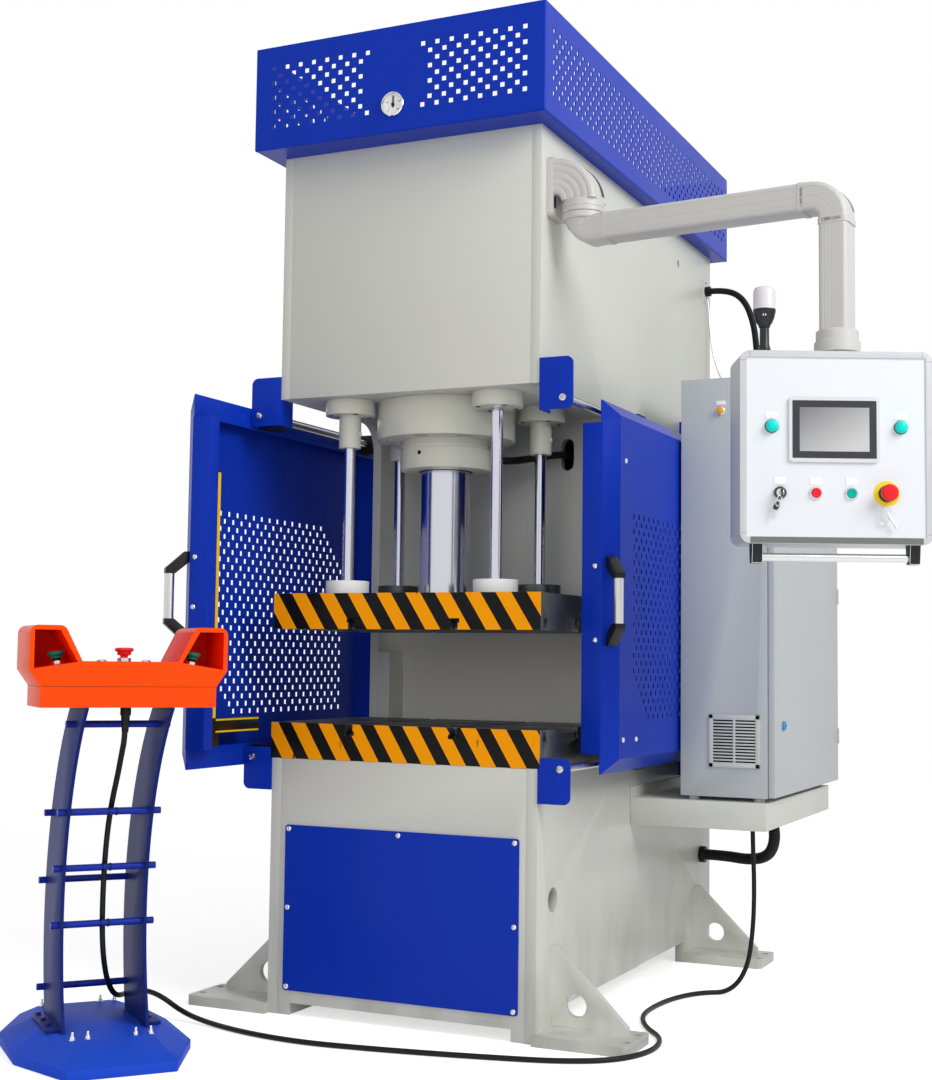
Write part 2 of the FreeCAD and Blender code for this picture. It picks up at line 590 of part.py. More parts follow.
def tee(centre, face, way):
    """Outline a T-slot that opens at a face: way is 1 for an upper face and -1 for an underside."""
    neck = "%s - %d * tee_neck_deep" % (face, way)
    floor = "%s - %d * tee_deep" % (face, way)
    return [("%s - tee_neck" % centre, face), ("%s - tee_neck" % centre, neck),
            ("%s - tee_head" % centre, neck), ("%s - tee_head" % centre, floor),
            ("%s + tee_head" % centre, floor), ("%s + tee_head" % centre, neck),
            ("%s + tee_neck" % centre, neck), ("%s + tee_neck" % centre, face)]


def tooling_plate(name, low, high, face, way):
    """Mill a plate with T-slots to the front and to both sides in one face."""
    body = new_body(name)
    prism(body, "XY", low, high, [rectangle("-plate_half", "plate_half", "front_y", back("plate_deep"))])
    prism(body, "XZ", "front_y", back("plate_deep"),
          [tee("%d * slot_half" % side, face, way) for side in (-1, 1)], cut=True)
    prism(body, "YZ", "-plate_half", "plate_half",
          [tee(back("slot_front + %d * slot_step" % number), face, way) for number in range(3)], cut=True)
    return body


ram = tooling_plate("ram_plate_block", "ram_low", "ram_high", "ram_low", -1)
keep(tooling_plate("bolster", "base_top", "bolster_top", "bolster_top", 1))
collars = []
for number, (x, y) in enumerate(guide_places, 1):
    collar = new_body("rod_collar_%d" % number)
    prism(collar, "XY", "ram_high", "ram_high + collar_high",
          rounds=[(x, y, "collar_radius"), (x, y, "guide_radius + snug")])
    collars.append(collar)
keep(group("ram_plate", [ram] + collars))

rods = []
bushes = []
for number, (x, y) in enumerate(guide_places, 1):
    guide = doc.addObject("Part::Cylinder", "guide_rod_%d" % number)
    guide.setExpression("Radius", bound("guide_radius"))
    guide.setExpression("Height", bound("guide_top - ram_high"))
    rods.append(put(guide, x, y, "ram_high"))
    bush = new_body("guide_bush_%d" % number)
    nose_low = "head_low - bush_flange_thick" if number == 2 else "bush_low"
    profile = [("bush_flange", "head_low - bush_flange_thick"), ("bush_flange", "head_low"),
               ("bush_spigot", "head_low"), ("bush_spigot", "head_low + crown"),
               ("guide_radius + loose", "head_low + crown"), ("guide_radius + loose", nose_low)]
    if number != 2:
        profile += [("bush_radius", nose_low), ("bush_radius", "head_low - bush_flange_thick")]
    turned(bush, "Z", ("0", "0", "0"), profile)
    bushes.append(put(bush, x, y))
keep(group("guide_rods", rods))
keep(group("guide_bushes", bushes))


def hazard_stripes(name, low, high, first, pitch, lean, face, way):
    """Cut leaning bands out of a thin plate on a front face, clear of the T-slots."""
    half, front, thick = size("plate_half"), size("front_y"), size("stripe_thick")
    wide = size("stripe_wide")

    def flat(points):
        corners = [V(x, front, z) for x, z in points]
        return Part.Face(Part.makePolygon(corners + corners[:1]))

    field = flat([(-half, low), (half, low), (half, high), (-half, high)])
    for side in (-1, 1):
        centre = side * size("slot_half")
        neck, head_wide = size("tee_neck"), size("tee_head")
        bottom, top = face - way * size("tee_deep"), face - way * size("tee_neck_deep")
        field = field.cut(flat([(centre - neck, face), (centre + neck, face), (centre + neck, top),
                                (centre - neck, top)]))
        field = field.cut(flat([(centre - head_wide, bottom), (centre + head_wide, bottom),
                                (centre + head_wide, top), (centre - head_wide, top)]))
    bands = []
    for number in range(int((half - first) / pitch) + 1):
        left = first + number * pitch
        band = flat([(left, high), (left + wide, high), (left + wide + lean, low), (left + lean, low)])
        bands += [piece.extrude(V(0, -thick, 0)) for piece in field.common(band).Faces if piece.Area > wide]
    return set_shape(name, Part.makeCompound(bands))


keep(hazard_stripes("ram_stripes", size("ram_low"), size("ram_high"), size("ram_stripe_first"),
                    size("ram_stripe_pitch"), size("ram_stripe_lean"), size("ram_low"), -1))
keep(hazard_stripes("bolster_stripes", size("base_top"), size("bolster_top"), size("bed_stripe_first"),
                    size("bed_stripe_pitch"), size("bed_stripe_lean"), size("bolster_top"), 1))

# ---------------------------------------------------------------- guard rails and doors

rail_parts = []
for side in (-1, 1):
    for tag, height, low, high, inner in (
            ("top", "rail_top", "top_bracket_low", "top_bracket_high", "frame_half"),
            ("low", "rail_low", "low_bracket_low", "low_bracket_high", "(frame_half + cheek_proud)")):
        name = "%s_%s" % (tag, "left" if side < 0 else "right")
        hole_at = [("%d * rail_out" % side, height, "rail_radius + loose")]
        bracket = new_body("front_bracket_" + name)
        near = "front_y - bracket_thick"
        skin = "%s + bracket_thick" % inner
        outline = [(inner, near), ("bracket_out", near), ("bracket_out", "front_y"), (skin, "front_y"),
                   (skin, back("bracket_wing")), (inner, back("bracket_wing"))]
        prism(bracket, "XY", low, high, [[("%d * (%s)" % (side, x), y) for x, y in outline]])
        prism(bracket, "XZ", near, "front_y", rounds=hole_at, cut=True)
        rounded(bracket, "bracket_round", "y", lambda m: abs(abs(m.x) - size("bracket_out")) < 1)
        if tag == "low":
            notch = across(side, "frame_half", "plate_half + 1")
            prism(bracket, "XY", "base_top", high, [rectangle(*notch, near, back("bracket_wing"))], cut=True)
        stay = new_body("rear_bracket_" + name)
        far = back("bracket_back")
        outline = [("frame_half", far), ("bracket_out", far), ("bracket_out", "%s + bracket_thick" % far),
                   ("frame_half + bracket_thick", "%s + bracket_thick" % far),
                   ("frame_half + bracket_thick", "%s + bracket_wing" % far),
                   ("frame_half", "%s + bracket_wing" % far)]
        prism(stay, "XY", low, high, [[("%d * (%s)" % (side, x), y) for x, y in outline]])
        prism(stay, "XZ", far, "%s + bracket_thick" % far, rounds=hole_at, cut=True)
        rail = new_body("rail_" + name)
        turned(rail, "Y", ("%d * rail_out" % side, near, height), [
            ("0", "-rail_head_thick"), ("rail_head", "-rail_head_thick"), ("rail_head", "0"),
            ("rail_radius", "0"), ("rail_radius", "rail_long"), ("0", "rail_long")])
        rail_parts += [bracket, stay, rail]
keep(group("guard_rails", rail_parts))


def guard_door(side, word, front):
    """Press one bevelled tray, open inboard, with folded edges, a perforated field and four runners."""
    tray = new_body(word + "_door_tray")
    edge = "(%s)" % front
    end = "(%s + door_long)" % edge

    def slope(inset):
        return rectangle("%s + %s" % (edge, inset), "%s - %s" % (end, inset),
                         "door_low + %s" % inset, "door_high - %s" % inset)

    def out(distance):
        return "%d * (%s)" % (side, distance)

    loft(tray, "YZ", out("door_rim"), out("door_rim + door_flare"), slope("0"), slope("door_flare"))
    wall = "door_wall * sqrt(2)"
    loft(tray, "YZ", out("door_rim"), out("door_rim + door_flare - door_wall"),
         slope("(%s)" % wall), slope("(%s + door_flare - door_wall)" % wall), cut=True)
    low, high = across(side, "(door_rim - door_wall)", "door_rim")
    prism(tray, "YZ", low, high, [
        rectangle(edge, end, "door_low", "door_low + door_band"),
        rectangle(edge, end, "door_high - door_band", "door_high")])
    low, high = across(side, "lip_inner", "(door_rim + door_wall)")
    prism(tray, "YZ", low, high, [rectangle(edge, "%s + door_wall" % edge, "lip_low", "lip_high")])
    low, high = across(side, "lip_inner", "(lip_inner + door_wall)")
    prism(tray, "YZ", low, high, [rectangle(edge, "%s + lip_deep" % edge, "lip_low", "lip_high")])
    start = size("front_y") + (-size("left_door_front") if side < 0 else size("right_door_front"))
    skin = side * (size("door_rim") + size("door_flare"))
    near, far = start + size("field_front"), start + size("field_back")
    bottom, top = size("field_low"), size("field_high")
    cutters = []
    for y, z in staggered(near, far, bottom, top):
        from_front = (y - near) + (z - bottom)
        from_rear = (far - y - hole) + (top - z - hole)
        if min(from_front, from_rear) >= size("field_corner"):
            cutters.append(Part.makeBox(4 * deep, hole, hole, V(skin - 2 * deep, y, z)))
    panel = perforated(word + "_door_panel", tray, cutters)
    runners = []
    low, high = across(side, "runner_inner", "runner_outer")
    for tag, height in (("top", "rail_top"), ("low", "rail_low")):
        for order, along in (("first", "runner_first"), ("second", "runner_second")):
            runner = new_body("%s_%s_%s_runner" % (word, tag, order))
            begin = "(%s + %s)" % (edge, along)
            prism(runner, "XZ", begin, begin + " + runner_long",
                  [rectangle(low, high, "%s - runner_high / 2" % height, "%s + runner_high / 2" % height)],
                  [("%d * rail_out" % side, height, "rail_radius + loose")])
            runners.append(runner)
    keep(group(word + "_guard_door", [panel] + runners))

    grip = new_body(word + "_guard_handle")
    middle = "(grip_low + grip_high) / 2"
    for way in (-1, 1):
        arm = [("0", "grip_high - %s + grip_foot" % middle), ("0", "grip_high - %s - grip_foot" % middle),
               ("-grip_stand + grip_radius", "grip_long / 2"), ("-grip_stand - grip_radius", "grip_long / 2"),
               ("-grip_stand - grip_radius", "grip_long / 2 + grip_foot"),
               ("-grip_radius", "grip_high - %s + grip_foot" % middle)]
        if way < 0:
            arm = [(y, "-(%s)" % z) for y, z in arm]
        if way < 0:
            prism(grip, "XY", "-grip_long / 2", "grip_long / 2", rounds=[("0", "-grip_stand", "grip_radius")])
        prism(grip, "YZ", "-grip_wide / 2", "grip_wide / 2", [arm])
    keep(put(grip, "%d * (door_rim + door_flare / 2)" % side, "%s + door_flare / 2" % edge, middle,
             "%d * 45" % side))

    curtain = new_body("light_curtain_" + word)
    low, high = across(side, "curtain_inner", "curtain_outer")
    begin = "(%s + lip_deep)" % edge
    stop = "(%s + curtain_deep)" % begin
    reach = "(%s + curtain_arm)" % begin
    prism(curtain, "YZ", low, high, [[
        (begin, "curtain_shoe"), (stop, "curtain_shoe"), (stop, "curtain_arm_low"), (reach, "curtain_arm_low"),
        (reach, "curtain_low + curtain_clip / 2"), (stop, "curtain_low + curtain_clip / 2"),
        (stop, "curtain_high"), (begin, "curtain_high")]])
    for height in ("curtain_low + curtain_clip", "curtain_high - 2 * curtain_clip"):
        prism(curtain, "YZ", low, high, [rectangle(
            "%s + door_wall" % edge, begin, height, "%s + curtain_clip" % height)])
    keep(curtain)


guard_door(-1, "left", "front_y - left_door_front")
guard_door(1, "right", "front_y + right_door_front")

# ---------------------------------------------------------------- cabinet on its shelf

shelf = new_body("cabinet_shelf")
shelf_near, shelf_far = back("shelf_back"), back("shelf_end")
prism(shelf, "XY", "shelf_low", "shelf_high", [rectangle("frame_half", "shelf_out", shelf_near, shelf_far)])
prism(shelf, "XY", "shelf_low", "shelf_high - shelf_sheet", [rectangle(
    "frame_half + shelf_sheet", "shelf_out - shelf_sheet", "%s + shelf_sheet" % shelf_near,
    "%s - shelf_sheet" % shelf_far)], cut=True)
prism(shelf, "XY", "shelf_high", "shelf_lip",
      [rectangle("frame_half", "frame_half + shelf_sheet", shelf_near, shelf_far)])
keep(shelf)

cabinet_near, cabinet_far = back("cabinet_back"), back("cabinet_end")
cabinet = new_body("cabinet_body")
prism(cabinet, "XY", "cabinet_low", "cabinet_high",
      [rectangle("cabinet_in", "cabinet_out", cabinet_near, cabinet_far)])
prism(cabinet, "YZ", "cabinet_in + cabinet_sheet", "cabinet_out", [rectangle(
    "%s + cabinet_sheet" % cabinet_near, "%s - cabinet_sheet" % cabinet_far,
    "cabinet_low + cabinet_sheet", "cabinet_high - cabinet_sheet")], cut=True)
prism(cabinet, "XZ", cabinet_near, "%s + cabinet_sheet" % cabinet_near, [rectangle(
    "vent_in + vent_rim", "vent_out - vent_rim", "vent_low + vent_rim", "vent_high - vent_rim")], cut=True)
feet = []
for x in ("cabinet_in + 2 * cabinet_foot", "cabinet_out - 2 * cabinet_foot"):
    for y in ("%s + 2 * cabinet_foot" % cabinet_near, "%s - cabinet_foot - cabinet_foot" % shelf_far):
        feet.append((x, y, "cabinet_foot"))
prism(cabinet, "XY", "shelf_high", "cabinet_low", rounds=feet)
keep(cabinet)

cabinet_door = new_body("cabinet_door")
leaf = "(cabinet_out + door_thick)"
leaf_near, leaf_far = "(%s + door_gap)" % cabinet_near, "(%s - door_gap)" % cabinet_far
leaf_low, leaf_high = "(cabinet_low + door_gap)", "(cabinet_high - door_gap)"
prism(cabinet_door, "YZ", "cabinet_out", leaf, [rectangle(leaf_near, leaf_far, leaf_low, leaf_high)])
prism(cabinet_door, "YZ", "cabinet_out", leaf + " - door_skin", [rectangle(
    "%s + door_fold" % leaf_near, "%s - door_fold" % leaf_far,
    "%s + door_fold" % leaf_low, "%s - door_fold" % leaf_high)], cut=True)
lock_place = (back("lock_back"), "lock_up")
prism(cabinet_door, "YZ", leaf + " - door_skin", leaf, rounds=[lock_place + ("lock_shank + loose",)], cut=True)
keep(cabinet_door)
lock = new_body("cabinet_lock")
turned(lock, "X", (leaf,) + lock_place, [
    ("0", "-door_thick / 2"), ("lock_shank", "-door_thick / 2"), ("lock_shank", "0"), ("lock_radius", "0"),
    ("lock_radius - 2", "lock_proud"), ("0", "lock_proud")])
keep(lock)

vent = new_body("vent_grille")
vent_front = "(%s - vent_proud)" % cabinet_near
prism(vent, "XZ", vent_front, cabinet_near, [rectangle("vent_in", "vent_out", "vent_low", "vent_high")])
slot = prism(vent, "XZ", vent_front, cabinet_near, [rectangle(
    "vent_in + vent_rim", "vent_out - vent_rim", "vent_low + vent_rim", "vent_low + vent_rim + vent_slot")],
    cut=True)
repeat(vent, "LinearPattern", "Z_Axis", int(size("vent_count")), "vent_step * (vent_count - 1)", slot)
keep(vent)

gear = new_body("control_gear")
gear_face = "(cabinet_in + cabinet_sheet)"
gear_front = "(%s + panel_sheet)" % gear_face
prism(gear, "YZ", gear_face, gear_front, [rectangle(
    "%s + 2 * cabinet_foot" % cabinet_near, "%s - 2 * cabinet_foot" % cabinet_far,
    "cabinet_low + 2 * cabinet_foot", "cabinet_high - 2 * cabinet_foot")])
for low, high, rows in (("fuse_low", "fuse_high", 4), ("relay_low", "relay_high", 3),
                        ("drive_low", "drive_high", 2)):
    room = "(%s + 4 * cabinet_foot)" % cabinet_near
    step = "((cabinet_end - cabinet_back - 8 * cabinet_foot) / %d)" % rows
    prism(gear, "YZ", gear_front, "%s + gear_deep" % gear_front, [
        rectangle("%s + %d * %s" % (room, number, step), "%s + %s * %s" % (room, number + 0.8, step), low, high)
        for number in range(rows)])
keep(gear)

# ---------------------------------------------------------------- arm

mount = new_body("arm_wall_mount")
swivel_x = "(frame_half + mount_thick + (elbow_inner + elbow_outer) / 2)"
swivel_y = back("swivel_back")
prism(mount, "YZ", "frame_half", "frame_half + mount_thick",
      [rectangle(back("mount_near"), back("mount_far"), "mount_low", "mount_high")])
rounded(mount, "mount_thick / 2", "x")
quarter_bend(mount, "frame_half + mount_thick", "elbow_up", "%s - elbow_half" % swivel_y,
             "%s + elbow_half" % swivel_y, "elbow_inner", "elbow_outer")
prism(mount, "XY", "swivel_low", "elbow_up", rounds=[(swivel_x, swivel_y, "swivel_radius")])
keep(mount)

boom = new_body("arm_boom")
arm_low, arm_high = "arm_up - arm_half_high", "arm_up + arm_half_high"
bend_x = "(arm_long - corner_inner - arm_half_high)"
turned(boom, "Z", ("0", "0", "0"), [
    ("0", arm_low), ("swivel_radius - 15", arm_low), ("swivel_radius - 4", arm_low + " + 8"),
    ("swivel_radius", arm_low + " + 20"), ("swivel_radius", "swivel_low"), ("0", "swivel_low")])
prism(boom, "YZ", "arm_half_high", bend_x,
      [rectangle("-arm_half_deep", "arm_half_deep", arm_low, arm_high)])
quarter_bend(boom, bend_x, "(%s - corner_inner)" % arm_low, "-arm_half_deep", "arm_half_deep",
             "corner_inner", "corner_inner + 2 * arm_half_high")
prism(boom, "XY", "coupling_top", "%s - corner_inner" % arm_low, [rectangle(
    "arm_long - arm_half_high", "arm_long + arm_half_high", "-arm_half_deep", "arm_half_deep")])
prism(boom, "XY", "coupling_low", "coupling_top", rounds=[("arm_long", "0", "coupling_radius")])
keep(put(boom, swivel_x, swivel_y, "0", "-arm_turn"))

# ---------------------------------------------------------------- control panel on the arm

panel_x = "(%s + arm_long * cos(arm_turn))" % swivel_x
panel_y = "(%s - arm_long * sin(arm_turn))" % swivel_y
face_x = "(case_right - case_left) / 2"
face_z = "(case_low + case_high) / 2"
face_front = "(face_inset - case_half_deep)"
face_rear = "(%s + face_thick)" % face_front


def on_panel(thing):
    """Carry a sub-part that is drawn about the panel's own axis to where the panel hangs."""
    return keep(put(thing, panel_x, panel_y, "0", "case_turn"))


def face_point(off, up):
    """Place a point on the panel's face from its centre."""
    return ("%s + %s" % (face_x, off), "%s + %s" % (face_z, up))


def case_outline(inset):
    return rectangle("%s - case_left" % inset, "case_right - %s" % inset,
                     "case_low + %s" % inset, "case_high - %s" % inset)


case = new_body("control_panel_case")
prism(case, "XZ", "-case_half_deep", "case_half_deep", [case_outline("0")])
rounded(case, "case_corner", "y")
prism(case, "XZ", "-case_half_deep", face_rear, [case_outline("case_rim")], cut=True)
prism(case, "XZ", face_rear, "case_half_deep - case_rear", [case_outline("case_wall")], cut=True)
prism(case, "XY", "case_high", "coupling_low", rounds=[("0", "0", "neck_radius")])
on_panel(case)

face = new_body("control_panel_front")
screen_x, screen_z = face_point("screen_off", "screen_up")
controls = {"stop": "stop_off", "start": "start_off", "halt": "halt_off", "key": "key_off"}
prism(face, "XZ", face_front, face_rear, [case_outline("case_rim"), rectangle(
    "%s - screen_wide / 2 + screen_lap" % screen_x, "%s + screen_wide / 2 - screen_lap" % screen_x,
    "%s - screen_high / 2 + screen_lap" % screen_z, "%s + screen_high / 2 - screen_lap" % screen_z)],
    [face_point(off, "control_up") + ("button_radius + loose",) for off in controls.values()] +
    [face_point("%d * light_off" % side, "light_up") + ("button_radius + loose",) for side in (-1, 1)])
on_panel(face)

screen = new_body("hmi_screen")
for low, high, lap in ((face_front + " - screen_proud", face_front, "0"),
                       (face_front, face_front + " + screen_deep", "screen_lap")):
    prism(screen, "XZ", low, high, [rectangle(
        "%s - screen_wide / 2 + %s" % (screen_x, lap), "%s + screen_wide / 2 - %s" % (screen_x, lap),
        "%s - screen_high / 2 + %s" % (screen_z, lap), "%s + screen_high / 2 - %s" % (screen_z, lap))])
on_panel(screen)


def panel_knob(name, off, up, profile):
    """Turn a control whose profile is measured inward from the panel's face."""
    body = new_body(name)
    x, z = face_point(off, up)
    turned(body, "Y", (x, face_front, z), profile)
    return body


flush = [("0", "-button_proud"), ("button_radius", "-button_proud"), ("button_radius", "button_deep"),
         ("0", "button_deep")]
on_panel(panel_knob("start_button", "start_off", "control_up", flush))
on_panel(panel_knob("stop_button", "stop_off", "control_up", flush))
on_panel(panel_knob("panel_estop", "halt_off", "control_up", [
    ("0", "-halt_proud"), ("halt_head * 0.8", "-halt_proud"), ("halt_head", "-halt_proud + halt_head_thick / 3"),
    ("halt_head", "halt_head_thick - halt_proud"), ("button_radius", "halt_head_thick - halt_proud + 4"),
    ("button_radius", "button_deep"), ("0", "button_deep")]))
key = panel_knob("key_switch", "key_off", "control_up", [
    ("0", "-key_cap_thick"), ("key_cap", "-key_cap_thick"), ("key_cap", "0"), ("button_radius", "0"),
    ("button_radius", "button_deep"), ("0", "button_deep")])
key_x, key_z = face_point("key_off", "control_up")
prism(key, "XZ", face_front + " - key_cap_thick - key_long", face_front + " - key_cap_thick", [rectangle(
    "%s - key_thick / 2" % key_x, "%s + key_thick / 2" % key_x,
    "%s - key_bow" % key_z, "%s + key_bow" % key_z)])
on_panel(key)
dome = [("0", "-light_proud"), ("light_radius * 0.5", "-light_proud * 0.93"),
        ("light_radius * 0.87", "-light_proud * 0.62"), ("light_radius", "-light_proud * 0.25"),
        ("light_radius", "0"), ("button_radius", "0"), ("button_radius", "button_deep"), ("0", "button_deep")]
lights = [panel_knob("panel_lamp_%s" % word, "%d * light_off" % side, "light_up", dome)
          for side, word in ((-1, "left"), (1, "right"))]
on_panel(group("panel_lamps", lights))

handle = new_body("panel_handle")
turned(handle, "X", (face_x, "-bar_fore", "bar_up"), [
    ("0", "-bar_half"), ("bar_radius", "-bar_half"), ("bar_radius", "bar_half"), ("0", "bar_half")])
for side in (-1, 1):
    low, high = across(side, "(bar_half - bar_end_wide)", "bar_half")
    prism(handle, "YZ", "%s + %s" % (face_x, low), "%s + %s" % (face_x, high), [[
        ("-bar_fore - bar_end_half", "case_low"), ("-bar_fore - bar_end_tip", "bar_end_low"),
        ("-bar_fore + bar_end_tip", "bar_end_low"), ("-bar_fore + bar_end_half", "case_low")]])
on_panel(handle)

beacon = new_body("signal_beacon")
turned(beacon, "Z", ("%s + beacon_off" % face_x, "0", "0"), [
    ("0", "case_high"), ("beacon_stem", "case_high"), ("beacon_stem", "funnel_low"),
    ("beacon_lens", "funnel_high"), ("beacon_lens", "beacon_top - 8"), ("beacon_lens - 6", "beacon_top"),
    ("0", "beacon_top")])
on_panel(beacon)

# ---------------------------------------------------------------- stand with the two-hand console

stand_y = back("stand_back")


def on_stand(thing):
    """Carry a sub-part that is drawn about the stand's own middle to where the stand is."""
    return keep(put(thing, "stand_x", stand_y, "0", "stand_turn"))


def octagon(edge, side, waist, front):
    """Outline an eight-sided plate that is longer from front to rear."""
    return [("-" + edge, "-" + front), (edge, "-" + front), (side, "-" + waist), (side, waist),
            (edge, front), ("-" + edge, front), ("-" + side, waist), ("-" + side, "-" + waist)]


foot = new_body("stand_base")
outer = octagon("stand_edge", "stand_side", "stand_waist", "stand_front")
prism(foot, "XY", "0", "stand_rim", [outer])
loft(foot, "XY", "stand_rim", "stand_deck", outer,
     octagon("deck_edge", "deck_side", "deck_waist", "deck_front"))
on_stand(foot)


def leg_middle(height):
    """Give how far behind the stand's middle a leg's centre line is at a height."""
    arc = size("leg_arc")
    return size("leg_far") - arc + math.sqrt(arc ** 2 - (height - size("leg_arc_up")) ** 2)


def leg_half(height):
    """Give half a leg's width at a height."""
    share = (height - size("stand_deck")) / (size("leg_top") - size("stand_deck"))
    return (size("leg_low_wide") + share * (size("leg_top_wide") - size("leg_low_wide"))) / 2


legs = []
low, high = size("stand_deck"), size("leg_top")
middle = (low + high) / 2
for side, word in ((-1, "left"), (1, "right")):
    left_x = side * size("leg_out") - size("leg_thick") / 2
    curve = []
    for way in (-1, 1):
        ends = [V(left_x, leg_middle(z) + way * leg_half(z), z) for z in (low, middle, high)]
        curve.append(ends)
    outline = Part.Wire([
        Part.Arc(*curve[0]).toShape(), Part.LineSegment(curve[0][2], curve[1][2]).toShape(),
        Part.Arc(*reversed(curve[1])).toShape(), Part.LineSegment(curve[1][0], curve[0][0]).toShape()])
    plate = Part.Face(outline).extrude(V(size("leg_thick"), 0, 0))
    flange_wide = size("leg_flange")
    flange_at = V(left_x if side > 0 else left_x + size("leg_thick") - flange_wide,
                  leg_middle(low) - leg_half(low) * 0.8, low)
    flange = Part.makeBox(flange_wide, leg_half(low) * 1.6, size("leg_thick"), flange_at)
    legs.append(set_shape("stand_leg_" + word, plate.fuse(flange).removeSplitter()))
rung_places = []
for edge, way in (("front", -1), ("rear", 1)):
    for place in ("high", "middle", "low"):
        height = size("rung_%s_%s" % (edge, place))
        inset = leg_half(height) - size("rung_inset")
        rung_places.append((leg_middle(height) + way * inset, height))
height = size("rung_top")
rung_places.append((leg_middle(height) - size("rung_inset") / 2, height))
gap = size("leg_out") - size("leg_thick") / 2
for number, (y, z) in enumerate(rung_places, 1):
    bar = Part.makeCylinder(size("rung_radius"), 2 * gap, V(-gap, y, z), V(1, 0, 0))
    for side in (-1, 1):
        outer_face = side * (gap + size("leg_thick"))
        stub = size("rung_reach") - gap - size("leg_thick")
        legs.append(set_shape("rung_%d_stub_%s" % (number, "left" if side < 0 else "right"),
                              Part.makeCylinder(size("rung_radius"), stub, V(outer_face, y, z), V(side, 0, 0))))
    legs.append(set_shape("rung_%d" % number, bar))
on_stand(group("stand_legs", legs))

# The console is a moulded box with a hood over each palm button.
hood_drop = "tan(palm_tilt)"
shell = new_body("console_shell")
outline = [("console_half", "console_low"), ("console_half", "console_split"), ("hood_half", "hood_low"),
           ("hood_half", "hood_top"), ("hood_shoulder", "hood_top"), ("hood_root", "console_deck")]
prism(shell, "XZ", "-console_front", "-console_back",
      [outline + [("-(%s)" % x, z) for x, z in reversed(outline)]])
rounded(shell, "hood_round", "y", lambda m: m.z > size("hood_top") - 1)
hood_near = "(hood_root + hood_wall)"
hood_far = "(hood_half - hood_wall)"
hood_floor = "(console_deck - %s * (%s - hood_root))"
for side in (-1, 1):
    cavity = [(hood_near, hood_floor % (hood_drop, hood_near)), (hood_far, hood_floor % (hood_drop, hood_far)),
              (hood_far, "hood_top - hood_wall"), ("hood_shoulder + hood_wall", "hood_top - hood_wall")]
    prism(shell, "XZ", "-console_front", "-console_back - hood_back_wall",
          [[("%d * (%s)" % (side, x), z) for x, z in cavity]], cut=True)
deck_at = hood_floor % (hood_drop, "palm_out")
prism(shell, "XY", "console_deck - well_deep", "console_deck", rounds=[
    ("%d * palm_out" % side, "-palm_fore", "palm_well") for side in (-1, 1)] +
    [("0", "-halt_fore", "palm_shank + loose")], cut=True)
rings = []
for side, word in ((-1, "left"), (0, "middle"), (1, "right")):
    ring = new_body("button_ring_" + word)
    prism(ring, "XY", "0", "ring_high", rounds=[("0", "0", "ring_radius"), ("0", "0", "palm_shank + loose")])
    place = ("%d * palm_out" % side, "-palm_fore", deck_at) if side else ("0", "-halt_fore", "console_deck")
    rings.append(put(ring, *place, "%d * palm_tilt" % side, (0, 1, 0)))
on_stand(group("console_body", [shell] + rings))

for side, word in ((-1, "left"), (1, "right")):
    cap = new_body("palm_cap_" + word)
    turned(cap, "Z", ("0", "0", "0"), [
        ("0", "-well_deep / 2"), ("palm_shank", "-well_deep / 2"), ("palm_shank", "palm_cap_low - 4"),
        ("palm_radius - 5", "palm_cap_low"), ("palm_radius", "palm_cap_high - 4"),
        ("palm_radius", "palm_cap_high - 1"), ("palm_radius - 3", "palm_cap_high"), ("0", "palm_cap_high")])
    put(cap, "%d * palm_out" % side, "-palm_fore", deck_at, "%d * palm_tilt" % side, (0, 1, 0))
    on_stand(group("palm_button_" + word, [cap]))
halt = new_body("console_estop")
turned(halt, "Z", ("0", "-halt_fore", "console_deck"), [
    ("0", "-well_deep / 2"), ("palm_shank", "-well_deep / 2"), ("palm_shank", "console_halt_low - 2"),
    ("console_halt_head * 0.75", "console_halt_low"), ("console_halt_head * 0.75", "console_halt_high - 10"),
    ("console_halt_head", "console_halt_high - 7"), ("console_halt_head", "console_halt_high - 3"),
    ("console_halt_head - 5", "console_halt_high"), ("0", "console_halt_high")])
on_stand(halt)

# ---------------------------------------------------------------- lamps, glands, cables

lamps = []
cabinet_lamp = new_body("cabinet_lamp")
turned(cabinet_lamp, "Y", ("cabinet_lamp_out", cabinet_near, "cabinet_lamp_up"), [
    ("0", "-lamp_proud"), ("lamp_radius * 0.6", "-lamp_proud"), ("lamp_radius", "-lamp_proud * 0.6"),
    ("lamp_radius", "0"), ("0", "0")])
lamps.append(cabinet_lamp)
console_lamps = []
for side, word in ((-1, "left"), (1, "right")):
    lamp = new_body("console_lamp_" + word)
    prism(lamp, "XY", "console_deck", "console_deck + console_lamp_high",
          rounds=[("%d * console_lamp_out" % side, "-halt_fore", "console_lamp_radius")])
    console_lamps.append(lamp)
lamps.append(put(group("console_lamps", console_lamps), "stand_x", stand_y, "0", "stand_turn"))
keep(group("indicator_lamps", lamps))


